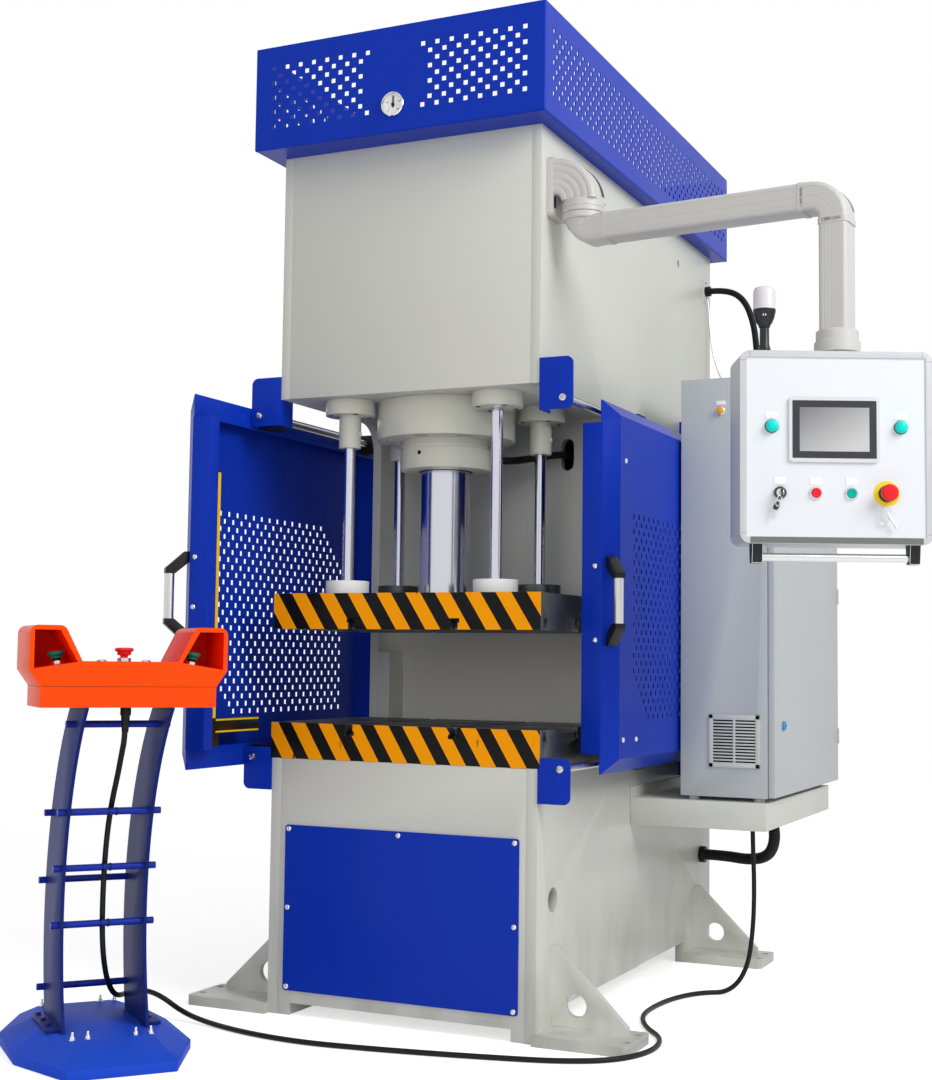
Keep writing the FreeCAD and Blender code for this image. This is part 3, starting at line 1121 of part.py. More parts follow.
def tube(name, route, radius):
    """Sweep a round section along straight runs joined by tangent arcs."""
    corners = [V(*point) for point in route]
    edges = []
    start = corners[0]
    bends = []
    for before, here, after in zip(corners, corners[1:], corners[2:]):
        toward, onward = before - here, after - here
        half_turn = (math.pi - toward.getAngle(onward)) / 2
        setback = 0.45 * min(toward.Length, onward.Length)
        bend = setback / math.tan(half_turn)
        enter = here + V(toward).normalize() * setback
        leave = here + V(onward).normalize() * setback
        inward = ((enter + leave) / 2 - here).normalize()
        crown_point = here + inward * bend * (1 / math.cos(half_turn) - 1)
        edges.append(Part.LineSegment(start, enter).toShape())
        edges.append(Part.Arc(enter, crown_point, leave).toShape())
        bends.append(bend)
        start = leave
    edges.append(Part.LineSegment(start, corners[-1]).toShape())
    path = Part.Wire(edges)
    section = Part.Wire(Part.makeCircle(radius, corners[0], corners[1] - corners[0]))
    solid = path.makePipeShell([section], True, False)
    share = solid.Volume / (math.pi * radius ** 2 * path.Length)
    runs = [round((b - a).Length) for a, b in zip(corners, corners[1:])]
    print(name, "length %.0f" % path.Length, "volume share %.4f" % share, "runs", runs,
          "bend radii", [round(bend) for bend in bends])
    return set_shape(name, solid)


front = size("front_y")


def stand_point(x, y, z):
    """Carry a point from the stand's own axes to the press's."""
    angle = math.radians(size("stand_turn"))
    return (size("stand_x") + x * math.cos(angle) - y * math.sin(angle),
            front + size("stand_back") + x * math.sin(angle) + y * math.cos(angle), z)


floor_line = size("cable_radius") + 0.5
drop_x, drop_back = size("drop_out"), size("drop_back")
under_shelf = size("shelf_high") - size("shelf_sheet")
under_console = size("console_low")
gland_long = size("gland_long")
# The two-hand cable drops from the shelf, lies on the floor round the front of the press and
# climbs the stand, behind its front rungs.
cable_route = [(drop_x, front + drop_back, under_shelf - gland_long)]
cable_route += [(x, front + behind, z) for x, behind, z in (
    (680, 800, 420), (684, 803, 300), (682, 798, 180), (668, 790, 70), (622, 778, floor_line),
    (555, 738, floor_line), (512, 645, floor_line), (494, 520, floor_line), (500, 390, floor_line),
    (550, 272, floor_line), (625, 178, floor_line), (645, 50, floor_line), (598, -70, floor_line),
    (490, -138, floor_line), (350, -176, floor_line), (190, -212, floor_line), (32, -240, floor_line),
    (-120, -258, floor_line), (-275, -240, floor_line), (-410, -198, floor_line), (-505, -178, 20),
    (-560, -200, 62))]
cable_route += [stand_point(*point) for point in (
    (150, 170, 86), (104, 136, 86), (72, 88, 92), (46, 36, 116), (22, -8, 160), (6, -34, 232),
    (3, -36, 320), (3, -44, 420), (5, -60, 500), (8, -84, 568), (9, -128, 632), (6, -178, 684),
    (2, -222, 722), (2, -222, under_console - gland_long))]
keep(tube("two_hand_cable", cable_route, size("cable_radius")))



def between_ends(start, end, steps):
    """Carry a route's points from either of its ends, by shares of the way between them."""
    points = [start]
    for origin, shares in steps:
        base = start if origin == "start" else end
        points.append(tuple(base[axis] + shares[axis] * abs(end[axis] - start[axis]) for axis in range(3)))
    return points + [end]


head_gland = (size("frame_half") + gland_long, front + size("head_gland_back"), size("head_gland_up"))
cabinet_gland = (size("top_gland_out"), front + size("top_gland_back"), size("cabinet_high") + gland_long)
keep(tube("head_conduit", between_ends(head_gland, cabinet_gland, [
    ("start", (0.304, 0, 0)), ("start", (0.635, -0.19, -0.096)), ("start", (0.856, -0.524, -0.3)),
    ("start", (0.967, -0.829, -0.54)), ("end", (0, 0, 0.232))]), size("head_conduit_radius")))
base_gland = (size("frame_half") + gland_long, front + size("base_gland_back"), size("base_gland_up"))
shelf_gland = (size("shelf_gland_out"), front + size("shelf_gland_back"), under_shelf - gland_long)
keep(tube("base_conduit", between_ends(base_gland, shelf_gland, [
    ("start", (0.25, 0, 0)), ("start", (0.558, -0.148, -0.025)), ("start", (0.846, -0.467, 0.074)),
    ("end", (0, 0.137, -0.653)), ("end", (0, 0, -0.332))]), size("conduit_radius")))
port_turn = math.radians(size("port_turn"))
port_way = V(math.cos(port_turn), math.sin(port_turn), 0)
port_out = size("gland_radius") + size("port_clear") + gland_long
port_end = V(0, front + size("bore_back"), size("port_up")) + port_way * port_out
port_run = tuple(port_end + port_way * size("hose_run"))
slot_mouth = front + size("wall_back")
slot_entry = (size("slot_out"), slot_mouth - size("hose_lead"), size("slot_up"))
slot_exit = (size("slot_out"), slot_mouth + size("hose_tail"), size("slot_up"))
keep(tube("throat_hose", [tuple(port_end)] + between_ends(port_run, slot_entry, [
    ("start", (0.316, 0.291, 0.286)), ("start", (0.664, 0.631, 0.667))]) + [slot_exit], size("hose_radius")))


def round_gland(name, centre, direction, radius, long):
    """Turn a plain gland between a housing and the end of a tube."""
    thing = doc.addObject("Part::Cylinder", name)
    thing.setExpression("Radius", bound(radius))
    thing.Height = long
    thing.Placement = FreeCAD.Placement(V(*centre), FreeCAD.Rotation(V(0, 0, 1), V(*direction)))
    return thing


console_gland = stand_point(2, -222, under_console - gland_long)
keep(group("cable_glands", [
    round_gland("shelf_cable_gland", (drop_x, front + drop_back, under_shelf - gland_long), (0, 0, 1),
                "small_gland", gland_long),
    round_gland("console_cable_gland", console_gland, (0, 0, 1), "small_gland", gland_long),
    round_gland("head_side_gland", head_gland, (-1, 0, 0), "small_gland + cheek_proud", gland_long),
    round_gland("cabinet_top_gland", cabinet_gland, (0, 0, -1), "small_gland + cheek_proud", gland_long),
    round_gland("base_side_gland", base_gland, (-1, 0, 0), "big_gland", gland_long),
    round_gland("shelf_conduit_gland", shelf_gland, (0, 0, 1), "big_gland", gland_long),
    round_gland("cylinder_port", tuple(port_end), tuple(-port_way), "small_gland + bracket_thick",
                gland_long)]))

# ---------------------------------------------------------------- check and export

doc.recompute()
faults = []
for thing in doc.Objects:
    if "Invalid" in thing.State or "Error" in thing.State:
        faults.append("%s: %s" % (thing.Name, thing.State))
    if thing.TypeId in ("PartDesign::Pocket", "PartDesign::Groove", "PartDesign::SubtractiveLoft"):
        if thing.Shape.Volume >= thing.BaseFeature.Shape.Volume - 1e-6:
            faults.append("%s cuts nothing" % thing.Name)
for node in nodes:
    if node.Shape.isNull() or not node.Shape.isValid():
        faults.append("%s has no valid shape" % node.Label)
if faults:
    raise SystemExit("\n".join(faults))
for node in nodes:
    node.Shape.exportStep("parts/%s.step" % node.Label)
print(len(nodes), "sub-parts written")
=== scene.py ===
import math

import bmesh
import bpy
from mathutils import Matrix, Vector


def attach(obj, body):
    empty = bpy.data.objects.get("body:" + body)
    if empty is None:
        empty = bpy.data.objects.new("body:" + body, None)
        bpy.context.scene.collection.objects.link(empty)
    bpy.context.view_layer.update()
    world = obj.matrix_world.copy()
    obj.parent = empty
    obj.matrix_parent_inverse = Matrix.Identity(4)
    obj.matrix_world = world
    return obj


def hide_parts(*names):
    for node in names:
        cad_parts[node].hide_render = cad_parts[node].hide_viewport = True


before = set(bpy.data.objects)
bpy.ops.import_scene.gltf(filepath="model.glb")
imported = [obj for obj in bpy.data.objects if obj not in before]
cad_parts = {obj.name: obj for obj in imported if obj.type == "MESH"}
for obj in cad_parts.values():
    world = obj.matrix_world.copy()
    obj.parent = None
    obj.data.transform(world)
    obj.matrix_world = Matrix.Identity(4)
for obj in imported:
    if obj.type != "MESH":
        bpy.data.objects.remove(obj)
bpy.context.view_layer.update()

# ---------------- camera
# The photograph was taken from the right of the press at about chest height, looking a little up.
# A 53 mm lens on the long side of the frame gives the same perspective.
scene = bpy.context.scene
scene.view_settings.view_transform = "Standard"
camera = bpy.data.objects.new("photo_camera", bpy.data.cameras.new("photo_camera"))
camera.data.lens = 53.07
camera.data.sensor_width = 36
camera.matrix_world = (Matrix.Translation((1.834, -4.204, 0.907))
                       @ Matrix.Rotation(math.radians(25.1), 4, "Z")
                       @ Matrix.Rotation(math.radians(94.26), 4, "X")
                       @ Matrix.Rotation(math.radians(0.70), 4, "Z"))
scene.collection.objects.link(camera)
scene.camera = camera

# ---------------- two-hand cable
# A black rubber cable of 13 mm that drops from the cabinet shelf, lies on the floor round the front
# of the press, climbs the stand behind its front rungs and goes up into the console.


def linked(tree, kind, values, out=0, **settings):
    """Add a node to a tree and give back one of its outputs."""
    made = tree.nodes.new(kind)
    for name, value in settings.items():
        setattr(made, name, value)
    for name, value in values.items():
        if isinstance(value, bpy.types.NodeSocket):
            tree.links.new(value, made.inputs[name])
        else:
            made.inputs[name].default_value = value
    return made.outputs[out]


class Level:
    """A number or a colour that a shader node gives, for use in sums."""

    def __init__(self, finish, socket):
        self.finish = finish
        self.socket = socket

    def sum(self, operation, first, second):
        return self.finish.node("ShaderNodeMath", {0: first, 1: second}, operation=operation)

    def __add__(self, other):
        return self.sum("ADD", self, other)

    def __radd__(self, other):
        return self.sum("ADD", other, self)

    def __sub__(self, other):
        return self.sum("SUBTRACT", self, other)

    def __rsub__(self, other):
        return self.sum("SUBTRACT", other, self)

    def __mul__(self, other):
        return self.sum("MULTIPLY", self, other)

    def __rmul__(self, other):
        return self.sum("MULTIPLY", other, self)


class Finish:
    """One material whose nodes are added by name."""

    def __init__(self, name):
        self.material = bpy.data.materials.new(name)
        self.material.use_nodes = True
        self.nodes = self.material.node_tree.nodes
        self.skin = self.nodes["Principled BSDF"]
        self.place = self.node("ShaderNodeTexCoord", {}, "Object")

    def node(self, kind, values, out=0, **settings):
        """Add a node whose values may be levels."""
        values = {name: getattr(value, "socket", value) for name, value in values.items()}
        return Level(self, linked(self.material.node_tree, kind, values, out, **settings))

    def feed(self, socket, value):
        """Give a socket a level or a plain value."""
        if isinstance(value, Level):
            self.material.node_tree.links.new(value.socket, socket)
        else:
            socket.default_value = value

    def noise(self, scale, detail=2.0, stretch=(1, 1, 1)):
        """Give a cloudy pattern from 0 to 1 at so many blobs a metre."""
        place = self.node("ShaderNodeMapping", {"Vector": self.place, "Scale": stretch})
        return self.node("ShaderNodeTexNoise", {"Vector": place, "Scale": scale, "Detail": detail}, "Fac")

    def between(self, factor, first, second):
        """Blend two colours."""
        return self.node("ShaderNodeMix", {0: factor, 6: first, 7: second}, 2, data_type="RGBA")

    def clamped(self, level, low, high):
        """Stretch a span of a level to 0 and 1 and hold it there."""
        return self.node("ShaderNodeMapRange", {"Value": level, "From Min": low, "From Max": high})

    def axis(self, letter):
        """Give one coordinate in metres."""
        return self.node("ShaderNodeSeparateXYZ", {0: self.place}, letter)

    def set(self, **values):
        """Set the surface's own sockets, with a capital for each word."""
        for name, value in values.items():
            self.feed(self.skin.inputs[name.replace("_", " ").title().replace("Ior", "IOR")], value)

    def bump(self, height, depth):
        """Raise the surface by a depth in metres."""
        lifted = self.node("ShaderNodeBump", {"Height": height, "Distance": depth, "Strength": 1.0}, "Normal")
        self.feed(self.skin.inputs["Normal"], lifted)


def colour(code, level=1.0):
    """Turn a colour as seen on a screen into the light it gives back."""
    parts = [int(code[i:i + 2], 16) / 255 for i in (0, 2, 4)]
    return tuple([min(1.0, level * (p / 12.92 if p <= 0.04045 else ((p + 0.055) / 1.055) ** 2.4))
                  for p in parts] + [1.0])


def moulded(name, code, roughness=0.45, shift=0.12, grain=300, depth=0.00005, coat=0.0, specular=0.2):
    """Make a plastic or rubber with a fine moulded grain and slightly uneven shine."""
    finish = Finish(name)
    cloud = finish.noise(6, 3)
    speck = finish.noise(grain, 2)
    finish.set(base_color=finish.between(cloud * 0.6 + speck * 0.4,
                                         colour(code, 1 - shift), colour(code, 1 + shift)),
               roughness=roughness + (cloud - 0.5) * 0.2, coat_weight=coat, specular_ior_level=specular)
    finish.bump(speck, depth)
    return finish.material


def settled(piece, body, slot, *nodes):
    """Put a finished piece in the scene, on its body, in place of CAD nodes."""
    if not piece.users_collection:
        scene.collection.objects.link(piece)
    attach(piece, body)
    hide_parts(*nodes)


def smooth_line(name, points, radius):
    """Make a smooth open curve whose control points are given."""
    curve = bpy.data.curves.new(name, "CURVE")
    curve.dimensions = "3D"
    curve.bevel_depth = radius
    curve.bevel_resolution = 4
    curve.use_fill_caps = True
    curve.resolution_u = 10
    spline = curve.splines.new("NURBS")
    spline.points.add(len(points) - 1)
    for point, place in zip(spline.points, points):
        point.co = (*place, 1)
    spline.order_u = 3
    spline.use_endpoint_u = True
    return bpy.data.objects.new(name, curve)


cable_points = [
    (0.680, 0.140, 0.507), (0.680, 0.140, 0.420), (0.684, 0.143, 0.300), (0.682, 0.138, 0.180),
    (0.668, 0.130, 0.070), (0.622, 0.118, 0.007), (0.555, 0.078, 0.007), (0.512, -0.015, 0.007),
    (0.494, -0.140, 0.007), (0.500, -0.270, 0.007), (0.550, -0.388, 0.007), (0.625, -0.482, 0.007),
    (0.645, -0.610, 0.007), (0.598, -0.730, 0.007), (0.490, -0.798, 0.007), (0.350, -0.836, 0.007),
    (0.190, -0.872, 0.007), (0.032, -0.900, 0.007), (-0.120, -0.918, 0.007), (-0.275, -0.900, 0.007),
    (-0.410, -0.858, 0.007), (-0.505, -0.838, 0.020), (-0.560, -0.860, 0.062), (-0.571, -0.923, 0.086),
    (-0.574, -0.980, 0.086), (-0.558, -1.035, 0.092), (-0.535, -1.089, 0.116), (-0.517, -1.135, 0.160),
    (-0.507, -1.164, 0.232), (-0.507, -1.168, 0.320), (-0.501, -1.173, 0.420), (-0.488, -1.182, 0.500),
    (-0.468, -1.195, 0.568), (-0.433, -1.222, 0.632), (-0.397, -1.257, 0.684), (-0.366, -1.288, 0.722),
    (-0.366, -1.288, 0.772)]
black_rubber = moulded("cable_rubber", "151618", 0.42, depth=0.00003)
cable = smooth_line("cable_two_hand", cable_points, 0.0065)
cable.data.materials.append(black_rubber)
settled(cable, "press", "cable_rubber", "two_hand_cable")

# ---------------- studio
# A white floor and a white world. What the camera and reflections see is plain white, and the
# light on the press is a soft sky, one broad lamp from the right and a weak fill from the front.
floor_half = 14
floor_mesh = bpy.data.meshes.new("studio_floor")
floor_mesh.from_pydata([(x * floor_half, y * floor_half, 0) for x, y in ((-1, -1), (1, -1), (1, 1), (-1, 1))],
                       [], [(0, 1, 2, 3)])
floor = bpy.data.objects.new("studio_floor", floor_mesh)
scene.collection.objects.link(floor)
floor_glow = 0.60
paper = Finish("studio_paper")
paper.set(base_color=(0.82, 0.82, 0.82, 1), roughness=0.9, specular_ior_level=0.1)
seen = paper.node("ShaderNodeLightPath", {}, "Is Camera Ray")
mirrored = paper.node("ShaderNodeLightPath", {}, "Is Glossy Ray")
glow = paper.node("ShaderNodeEmission", {"Color": (1, 1, 1, 1), "Strength": floor_glow * (seen + mirrored)})
whole = paper.node("ShaderNodeAddShader", {0: Level(paper, paper.skin.outputs[0]), 1: glow})
paper.feed(paper.nodes["Material Output"].inputs["Surface"], whole)
floor_mesh.materials.append(paper.material)

sky_light = 0.45
world = bpy.data.worlds.new("studio_world")
world.use_nodes = True
scene.world = world
sky = world.node_tree
path = sky.nodes.new("ShaderNodeLightPath")
direct = linked(sky, "ShaderNodeMath", {0: path.outputs["Is Camera Ray"], 1: path.outputs["Is Glossy Ray"]},
                operation="ADD")
either = linked(sky, "ShaderNodeMath", {0: direct, 1: path.outputs["Is Transmission Ray"]},
                operation="ADD", use_clamp=True)
strength = linked(sky, "ShaderNodeMapRange", {"Value": either, "To Min": sky_light, "To Max": 1.0}, "Result")
sky.nodes["Background"].inputs["Color"].default_value = (1, 1, 1, 1)
sky.links.new(strength, sky.nodes["Background"].inputs["Strength"])

middle_of_press = Vector((0.1, -0.1, 1.4))
for name, place, size, power in (("broad_lamp", (4.2, -1.7, 3.7), 2.8, 142),
                                 ("front_fill", (1.4, -6.5, 1.9), 3.0, 84)):
    lamp = bpy.data.objects.new(name, bpy.data.lights.new(name, "AREA"))
    lamp.data.shape = "DISK"
    lamp.data.size = size
    lamp.data.energy = power
    lamp.visible_camera = False
    lamp.visible_glossy = name == "broad_lamp"
    aim = Vector(place) - middle_of_press
    lamp.matrix_world = Matrix.Translation(place) @ aim.to_track_quat("Z", "Y").to_matrix().to_4x4()
    scene.collection.objects.link(lamp)

# ---------------- conduits and hose
# Two corrugated black conduits run from the frame to the cabinet and its shelf, and a hydraulic
# hose runs from the cylinder through the slot in the column.


def geometry_tree(name, inputs):
    """Start a tree with one geometry in, one geometry out and named inputs, and give its sockets."""
    tree = bpy.data.node_groups.new(name, "GeometryNodeTree")
    tree.interface.new_socket("Geometry", in_out="INPUT", socket_type="NodeSocketGeometry")
    for label, kind in inputs:
        tree.interface.new_socket(label, in_out="INPUT", socket_type="NodeSocket" + kind)
    tree.interface.new_socket("Geometry", in_out="OUTPUT", socket_type="NodeSocketGeometry")
    return tree, tree.nodes.new("NodeGroupInput").outputs, tree.nodes.new("NodeGroupOutput").inputs


def grown(carrier, tree, values):
    """Run a node tree on an object and keep its result as a plain mesh at the origin."""
    if not carrier.users_collection:
        scene.collection.objects.link(carrier)
    maker = carrier.modifiers.new(tree.name, "NODES")
    maker.node_group = tree
    for item in tree.interface.items_tree:
        if item.item_type == "SOCKET" and item.in_out == "INPUT" and item.name in values:
            maker[item.identifier] = values[item.name]
    bpy.context.view_layer.update()
    made = carrier.evaluated_get(bpy.context.evaluated_depsgraph_get())
    mesh = bpy.data.meshes.new_from_object(made)
    carrier.modifiers.remove(maker)
    name = carrier.name
    bpy.data.objects.remove(carrier)
    return bpy.data.objects.new(name, mesh)


def swept(tree, curve, size, sides):
    """Sweep a round section whose radius may change along a curve, with closed ends."""
    section = linked(tree, "GeometryNodeCurvePrimitiveCircle", {"Resolution": sides, "Radius": 1.0})
    sized = linked(tree, "GeometryNodeSetCurveRadius", {"Curve": curve, "Radius": size})
    shape = linked(tree, "GeometryNodeCurveToMesh", {
        "Curve": sized, "Profile Curve": section, "Fill Caps": True})
    if "Scale" in shape.node.inputs:
        tree.links.new(size, shape.node.inputs["Scale"])
    return shape


def finished(tree, shape, material, result):
    """End a tree with plain geometry in one material."""
    plain = linked(tree, "GeometryNodeRealizeInstances", {"Geometry": shape})
    coated = linked(tree, "GeometryNodeSetMaterial", {"Geometry": plain, "Material": material})
    tree.links.new(coated, result["Geometry"])


ribbing, given, result = geometry_tree("ribbed_tube", [
    ("Radius", "Float"), ("Rib", "Float"), ("Pitch", "Float"), ("Material", "Material")])
rib_step = linked(ribbing, "ShaderNodeMath", {0: given["Pitch"], 1: 4.0}, operation="DIVIDE")
even = linked(ribbing, "GeometryNodeResampleCurve", {"Curve": given["Geometry"], "Length": rib_step},
              mode="LENGTH")
turn_of = linked(ribbing, "ShaderNodeMath", {0: linked(ribbing, "GeometryNodeInputIndex", {}), 1: 4.0},
                 operation="FLOORED_MODULO")
valley = linked(ribbing, "ShaderNodeMath", {0: turn_of, 1: 1.5}, operation="GREATER_THAN")
dip = linked(ribbing, "ShaderNodeMath", {0: valley, 1: given["Rib"]}, operation="MULTIPLY")
size = linked(ribbing, "ShaderNodeMath", {0: given["Radius"], 1: dip}, operation="SUBTRACT")
finished(ribbing, swept(ribbing, even, size, 20), given["Material"], result)

conduit_black = moulded("conduit_black", "101113", 0.5, grain=200)
for name, node, points, radius, rib, pitch in (
        ("ribbed_conduit_head", "head_conduit",
         [(0.385, 0.735, 2.104), (0.440, 0.735, 2.104), (0.500, 0.715, 2.066), (0.540, 0.680, 1.985),
          (0.560, 0.648, 1.890), (0.566, 0.630, 1.800), (0.566, 0.630, 1.708)], 0.0100, 0.0008, 0.0036),
        ("ribbed_conduit_base", "base_conduit",
         [(0.385, 0.687, 0.305), (0.450, 0.687, 0.305), (0.530, 0.660, 0.300), (0.605, 0.602, 0.320),
          (0.645, 0.530, 0.375), (0.645, 0.505, 0.440), (0.645, 0.505, 0.507)], 0.0170, 0.0016, 0.0056),
        ("hydraulic_hose", "throat_hose",
         [(0.092, -0.317, 1.440), (0.125, -0.282, 1.440), (0.150, -0.220, 1.452), (0.178, -0.148, 1.468),
          (0.205, -0.070, 1.482), (0.205, 0.010, 1.482)], 0.0100, 0.0002, 0.0030)):
    tube = grown(smooth_line(name, points, 0), ribbing, {
        "Radius": radius, "Rib": rib, "Pitch": pitch, "Material": conduit_black})
    settled(tube, "press", "cable_rubber", node)

# ---------------- frame
# Two thick side plates with welded feet and gussets, a boxed head, column and base between them,
# all sprayed light grey. Plate edges are eased a little, as ground plate is before painting.


def paint(name, code, roughness=0.38, shift=0.05, peel=0.00006, coat=0.0, darkening=0.0, specular=0.3):
    """Make sprayed paint with faint orange peel, uneven shine and, where asked, patchy darkening towards the
    bottom.
    """
    finish = Finish(name)
    cloud = finish.noise(2.2, 3)
    speck = finish.noise(240, 2)
    sprayed = finish.between(cloud * 0.8 + speck * 0.2, colour(code, 1 - shift), colour(code, 1 + shift))
    if darkening:
        # Where asked, the colour goes darker towards the bottom, in noisy patches.
        low = finish.clamped(finish.axis("Z"), 0.45, 0.0)
        blotches = finish.clamped(finish.noise(9, 5, (1, 1, 0.4)), 0.42, 0.72)
        sprayed = finish.between(low * blotches * darkening, sprayed, colour("6E6A60"))
    finish.set(base_color=sprayed, roughness=roughness + (cloud - 0.5) * 0.16 + (speck - 0.5) * 0.05,
               coat_weight=coat, specular_ior_level=specular)
    finish.bump(finish.noise(520, 1), peel)
    return finish.material


weld_distance = 0.00002


def own_copy(node):
    """Copy a CAD node's mesh with its loose triangles merged into plain faces."""
    bm = bmesh.new()
    bm.from_mesh(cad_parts[node].data)
    bmesh.ops.remove_doubles(bm, verts=bm.verts, dist=weld_distance)
    bmesh.ops.dissolve_limit(bm, angle_limit=math.radians(1), verts=bm.verts, edges=bm.edges)
    return bm


def eased(bm, width, segments=2, above=35, only=lambda edge: True):
    """Bevel the sharp edges of a closed mesh."""
    bm.normal_update()
    edges = [edge for edge in bm.edges if len(edge.link_faces) == 2 and only(edge)
             and edge.calc_face_angle(0) > math.radians(above) and edge.calc_length() > width * 2.5]
    bmesh.ops.bevel(bm, geom=edges, offset=width, segments=segments, profile=0.5, affect="EDGES",
                    clamp_overlap=True)
    return bm


def made_of(name, bm, finishes, smooth):
    """Turn a working mesh into an object, smooth except at its sharp edges."""
    bm.normal_update()
    for face in bm.faces:
        face.smooth = True
    for edge in bm.edges:
        if len(edge.link_faces) == 2 and edge.calc_face_angle(0) > math.radians(smooth):
            edge.smooth = False
    mesh = bpy.data.meshes.new(name)
    bm.to_mesh(mesh)
    bm.free()
    for finish in finishes:
        mesh.materials.append(finish)
    return bpy.data.objects.new(name, mesh)


def built(name, bm, finishes, body, slot, *nodes, smooth=32):
    """Make a piece of a working mesh and settle it."""
    settled(made_of(name, bm, finishes, smooth), body, slot, *nodes)


def softened(name, node, width, finishes, body, slot, segments=2):
    """Settle a copy of a CAD node with eased edges in its place."""
    built(name, eased(own_copy(node), width, segments), finishes, body, slot, node)


# The frame's grey goes a little darker in patches towards the floor.
frame_grey = paint("frame_grey", "CBCCC4", darkening=0.35)
for node in ("side_plate_left", "side_plate_right", "head_box", "column_walls", "base_box"):
    softened(node + "_plate", node, 0.0015, [frame_grey], "press", "frame_paint")

guard_blue = paint("guard_blue", "0C33AE", roughness=0.34, specular=0.12)

# The feet and their gussets are welded on all round, with a slightly uneven bead in each corner.
welding, given, result = geometry_tree("weld_bead", [
    ("Radius", "Float"), ("Step", "Float"), ("Material", "Material")])
even = linked(welding, "GeometryNodeResampleCurve", {"Curve": given["Geometry"], "Length": given["Step"]},
              mode="LENGTH")
uneven = linked(welding, "FunctionNodeRandomValue", {2: 0.82, 3: 1.12, 8: 7}, 1, data_type="FLOAT")
size = linked(welding, "ShaderNodeMath", {0: uneven, 1: given["Radius"]}, operation="MULTIPLY")
finished(welding, swept(welding, even, size, 6), given["Material"], result)

runs = []
for side in (-1, 1):
    for toe, gusset, wall in ((-0.680, -0.558, 0.371), (0.513, 0.630, 0.367)):
        runs.append([(side * wall, toe + 0.012, 0.025), (side * wall, gusset - 0.001, 0.025)])
        runs.append([(side * wall, gusset + 0.019, 0.025), (side * wall, toe + 0.155, 0.025)])
        for face in (gusset, gusset + 0.018):
            runs.append([(side * wall, face, 0.210), (side * wall, face, 0.027), (side * 0.560, face, 0.025)])
beads = bpy.data.curves.new("foot_welds", "CURVE")
beads.dimensions = "3D"
for run in runs:
    line = beads.splines.new("POLY")
    line.points.add(len(run) - 1)
    for point, place in zip(line.points, run):
        point.co = (*place, 1)
settled(grown(bpy.data.objects.new("foot_welds", beads), welding,
              {"Radius": 0.0042, "Step": 0.006, "Material": frame_grey}), "press", "frame_paint")

# ---------------- front hatch
# A blue sheet over the opening in the base, held by seven zinc-plated button-head screws.


def turn(bm, outline, seat=Matrix(), sides=24, skin=0):
    """Spin (radius, height) points about a seat's own Z, from the bottom outwards and up."""
    rings = []
    for radius, height in outline:
        around = range(sides) if radius else range(1)
        rings.append([bm.verts.new(seat @ Vector((radius * math.cos(math.tau * i / sides),
                                                  radius * math.sin(math.tau * i / sides), height)))
                      for i in around])
    if outline[0] == outline[-1]:
        for vert in rings[-1]:
            bm.verts.remove(vert)
        rings[-1] = rings[0]
    for lower, upper in zip(rings, rings[1:]):
        for i in range(sides):
            j = (i + 1) % sides
            corners = (lower[i % len(lower)], lower[j % len(lower)], upper[j % len(upper)],
                       upper[i % len(upper)])
            bm.faces.new(list(dict.fromkeys(corners))).material_index = skin
    return bm


def slab(bm, outline, low, high, seat=Matrix(), skin=0):
    """Raise a flat outline, given counterclockwise, from one height to another on its seat."""
    under, over = ([bm.verts.new(seat @ Vector((x, y, z))) for x, y in outline] for z in (low, high))
    bm.faces.new(under[::-1]).material_index = skin
    bm.faces.new(over).material_index = skin
    for i in range(len(outline)):
        j = (i + 1) % len(outline)
        bm.faces.new((under[i], under[j], over[j], over[i])).material_index = skin
    return bm


def oblong(half_x, half_y, corner=0.0, x=0.0, y=0.0, steps=4):
    """Outline a rectangle about a centre, with rounded corners where a radius is given."""
    points = []
    for number, (side_x, side_y) in enumerate(((1, 1), (-1, 1), (-1, -1), (1, -1))):
        for step in range(steps + 1 if corner else 1):
            angle = math.pi / 2 * (number + step / steps)
            points.append((x + side_x * (half_x - corner) + corner * math.cos(angle) * (corner > 0),
                           y + side_y * (half_y - corner) + corner * math.sin(angle) * (corner > 0)))
    return points


def seat_at(place, way):
    """Give a seat whose Z points one way and whose Y points as nearly up as it can."""
    z = Vector(way).normalized()
    x = Vector((0, 0, 1)).cross(z).normalized()
    return Matrix.Translation(place) @ Matrix((x, z.cross(x), z)).transposed().to_4x4()


def plated(name, code, roughness, shift=0.06, brushed=(1, 1, 1), scale=60):
    """Make bare or plated metal with a faint grain and uneven shine."""
    finish = Finish(name)
    grain = finish.noise(scale, 3, brushed)
    cloud = finish.noise(5, 3)
    finish.set(base_color=finish.between(grain * 0.6 + cloud * 0.4,
                                         colour(code, 1 - shift), colour(code, 1 + shift)),
               metallic=1.0, roughness=roughness + (grain - 0.5) * roughness * 0.5 + (cloud - 0.5) * 0.06)
    finish.bump(grain, 0.00001)
    return finish.material


def screw_head(name, radius, height, socket, domed=True, sides=14):
    """Make a button or socket head that stands on its own seat, with a round socket in its top."""
    crown = [(radius, 0.0), (radius * 0.97, height * 0.45), (radius * 0.75, height * 0.82),
             (socket, height), (socket * 0.9, height * 0.5), (0.0, height * 0.5)]
    if not domed:
        crown = [(radius, 0.0), (radius, height * 0.86), (radius * 0.9, height),
                 (socket, height), (socket * 0.95, height * 0.4), (0.0, height * 0.4)]
    return made_of(name, turn(bmesh.new(), [(0.0, 0.0)] + crown, sides=sides), [], 40)


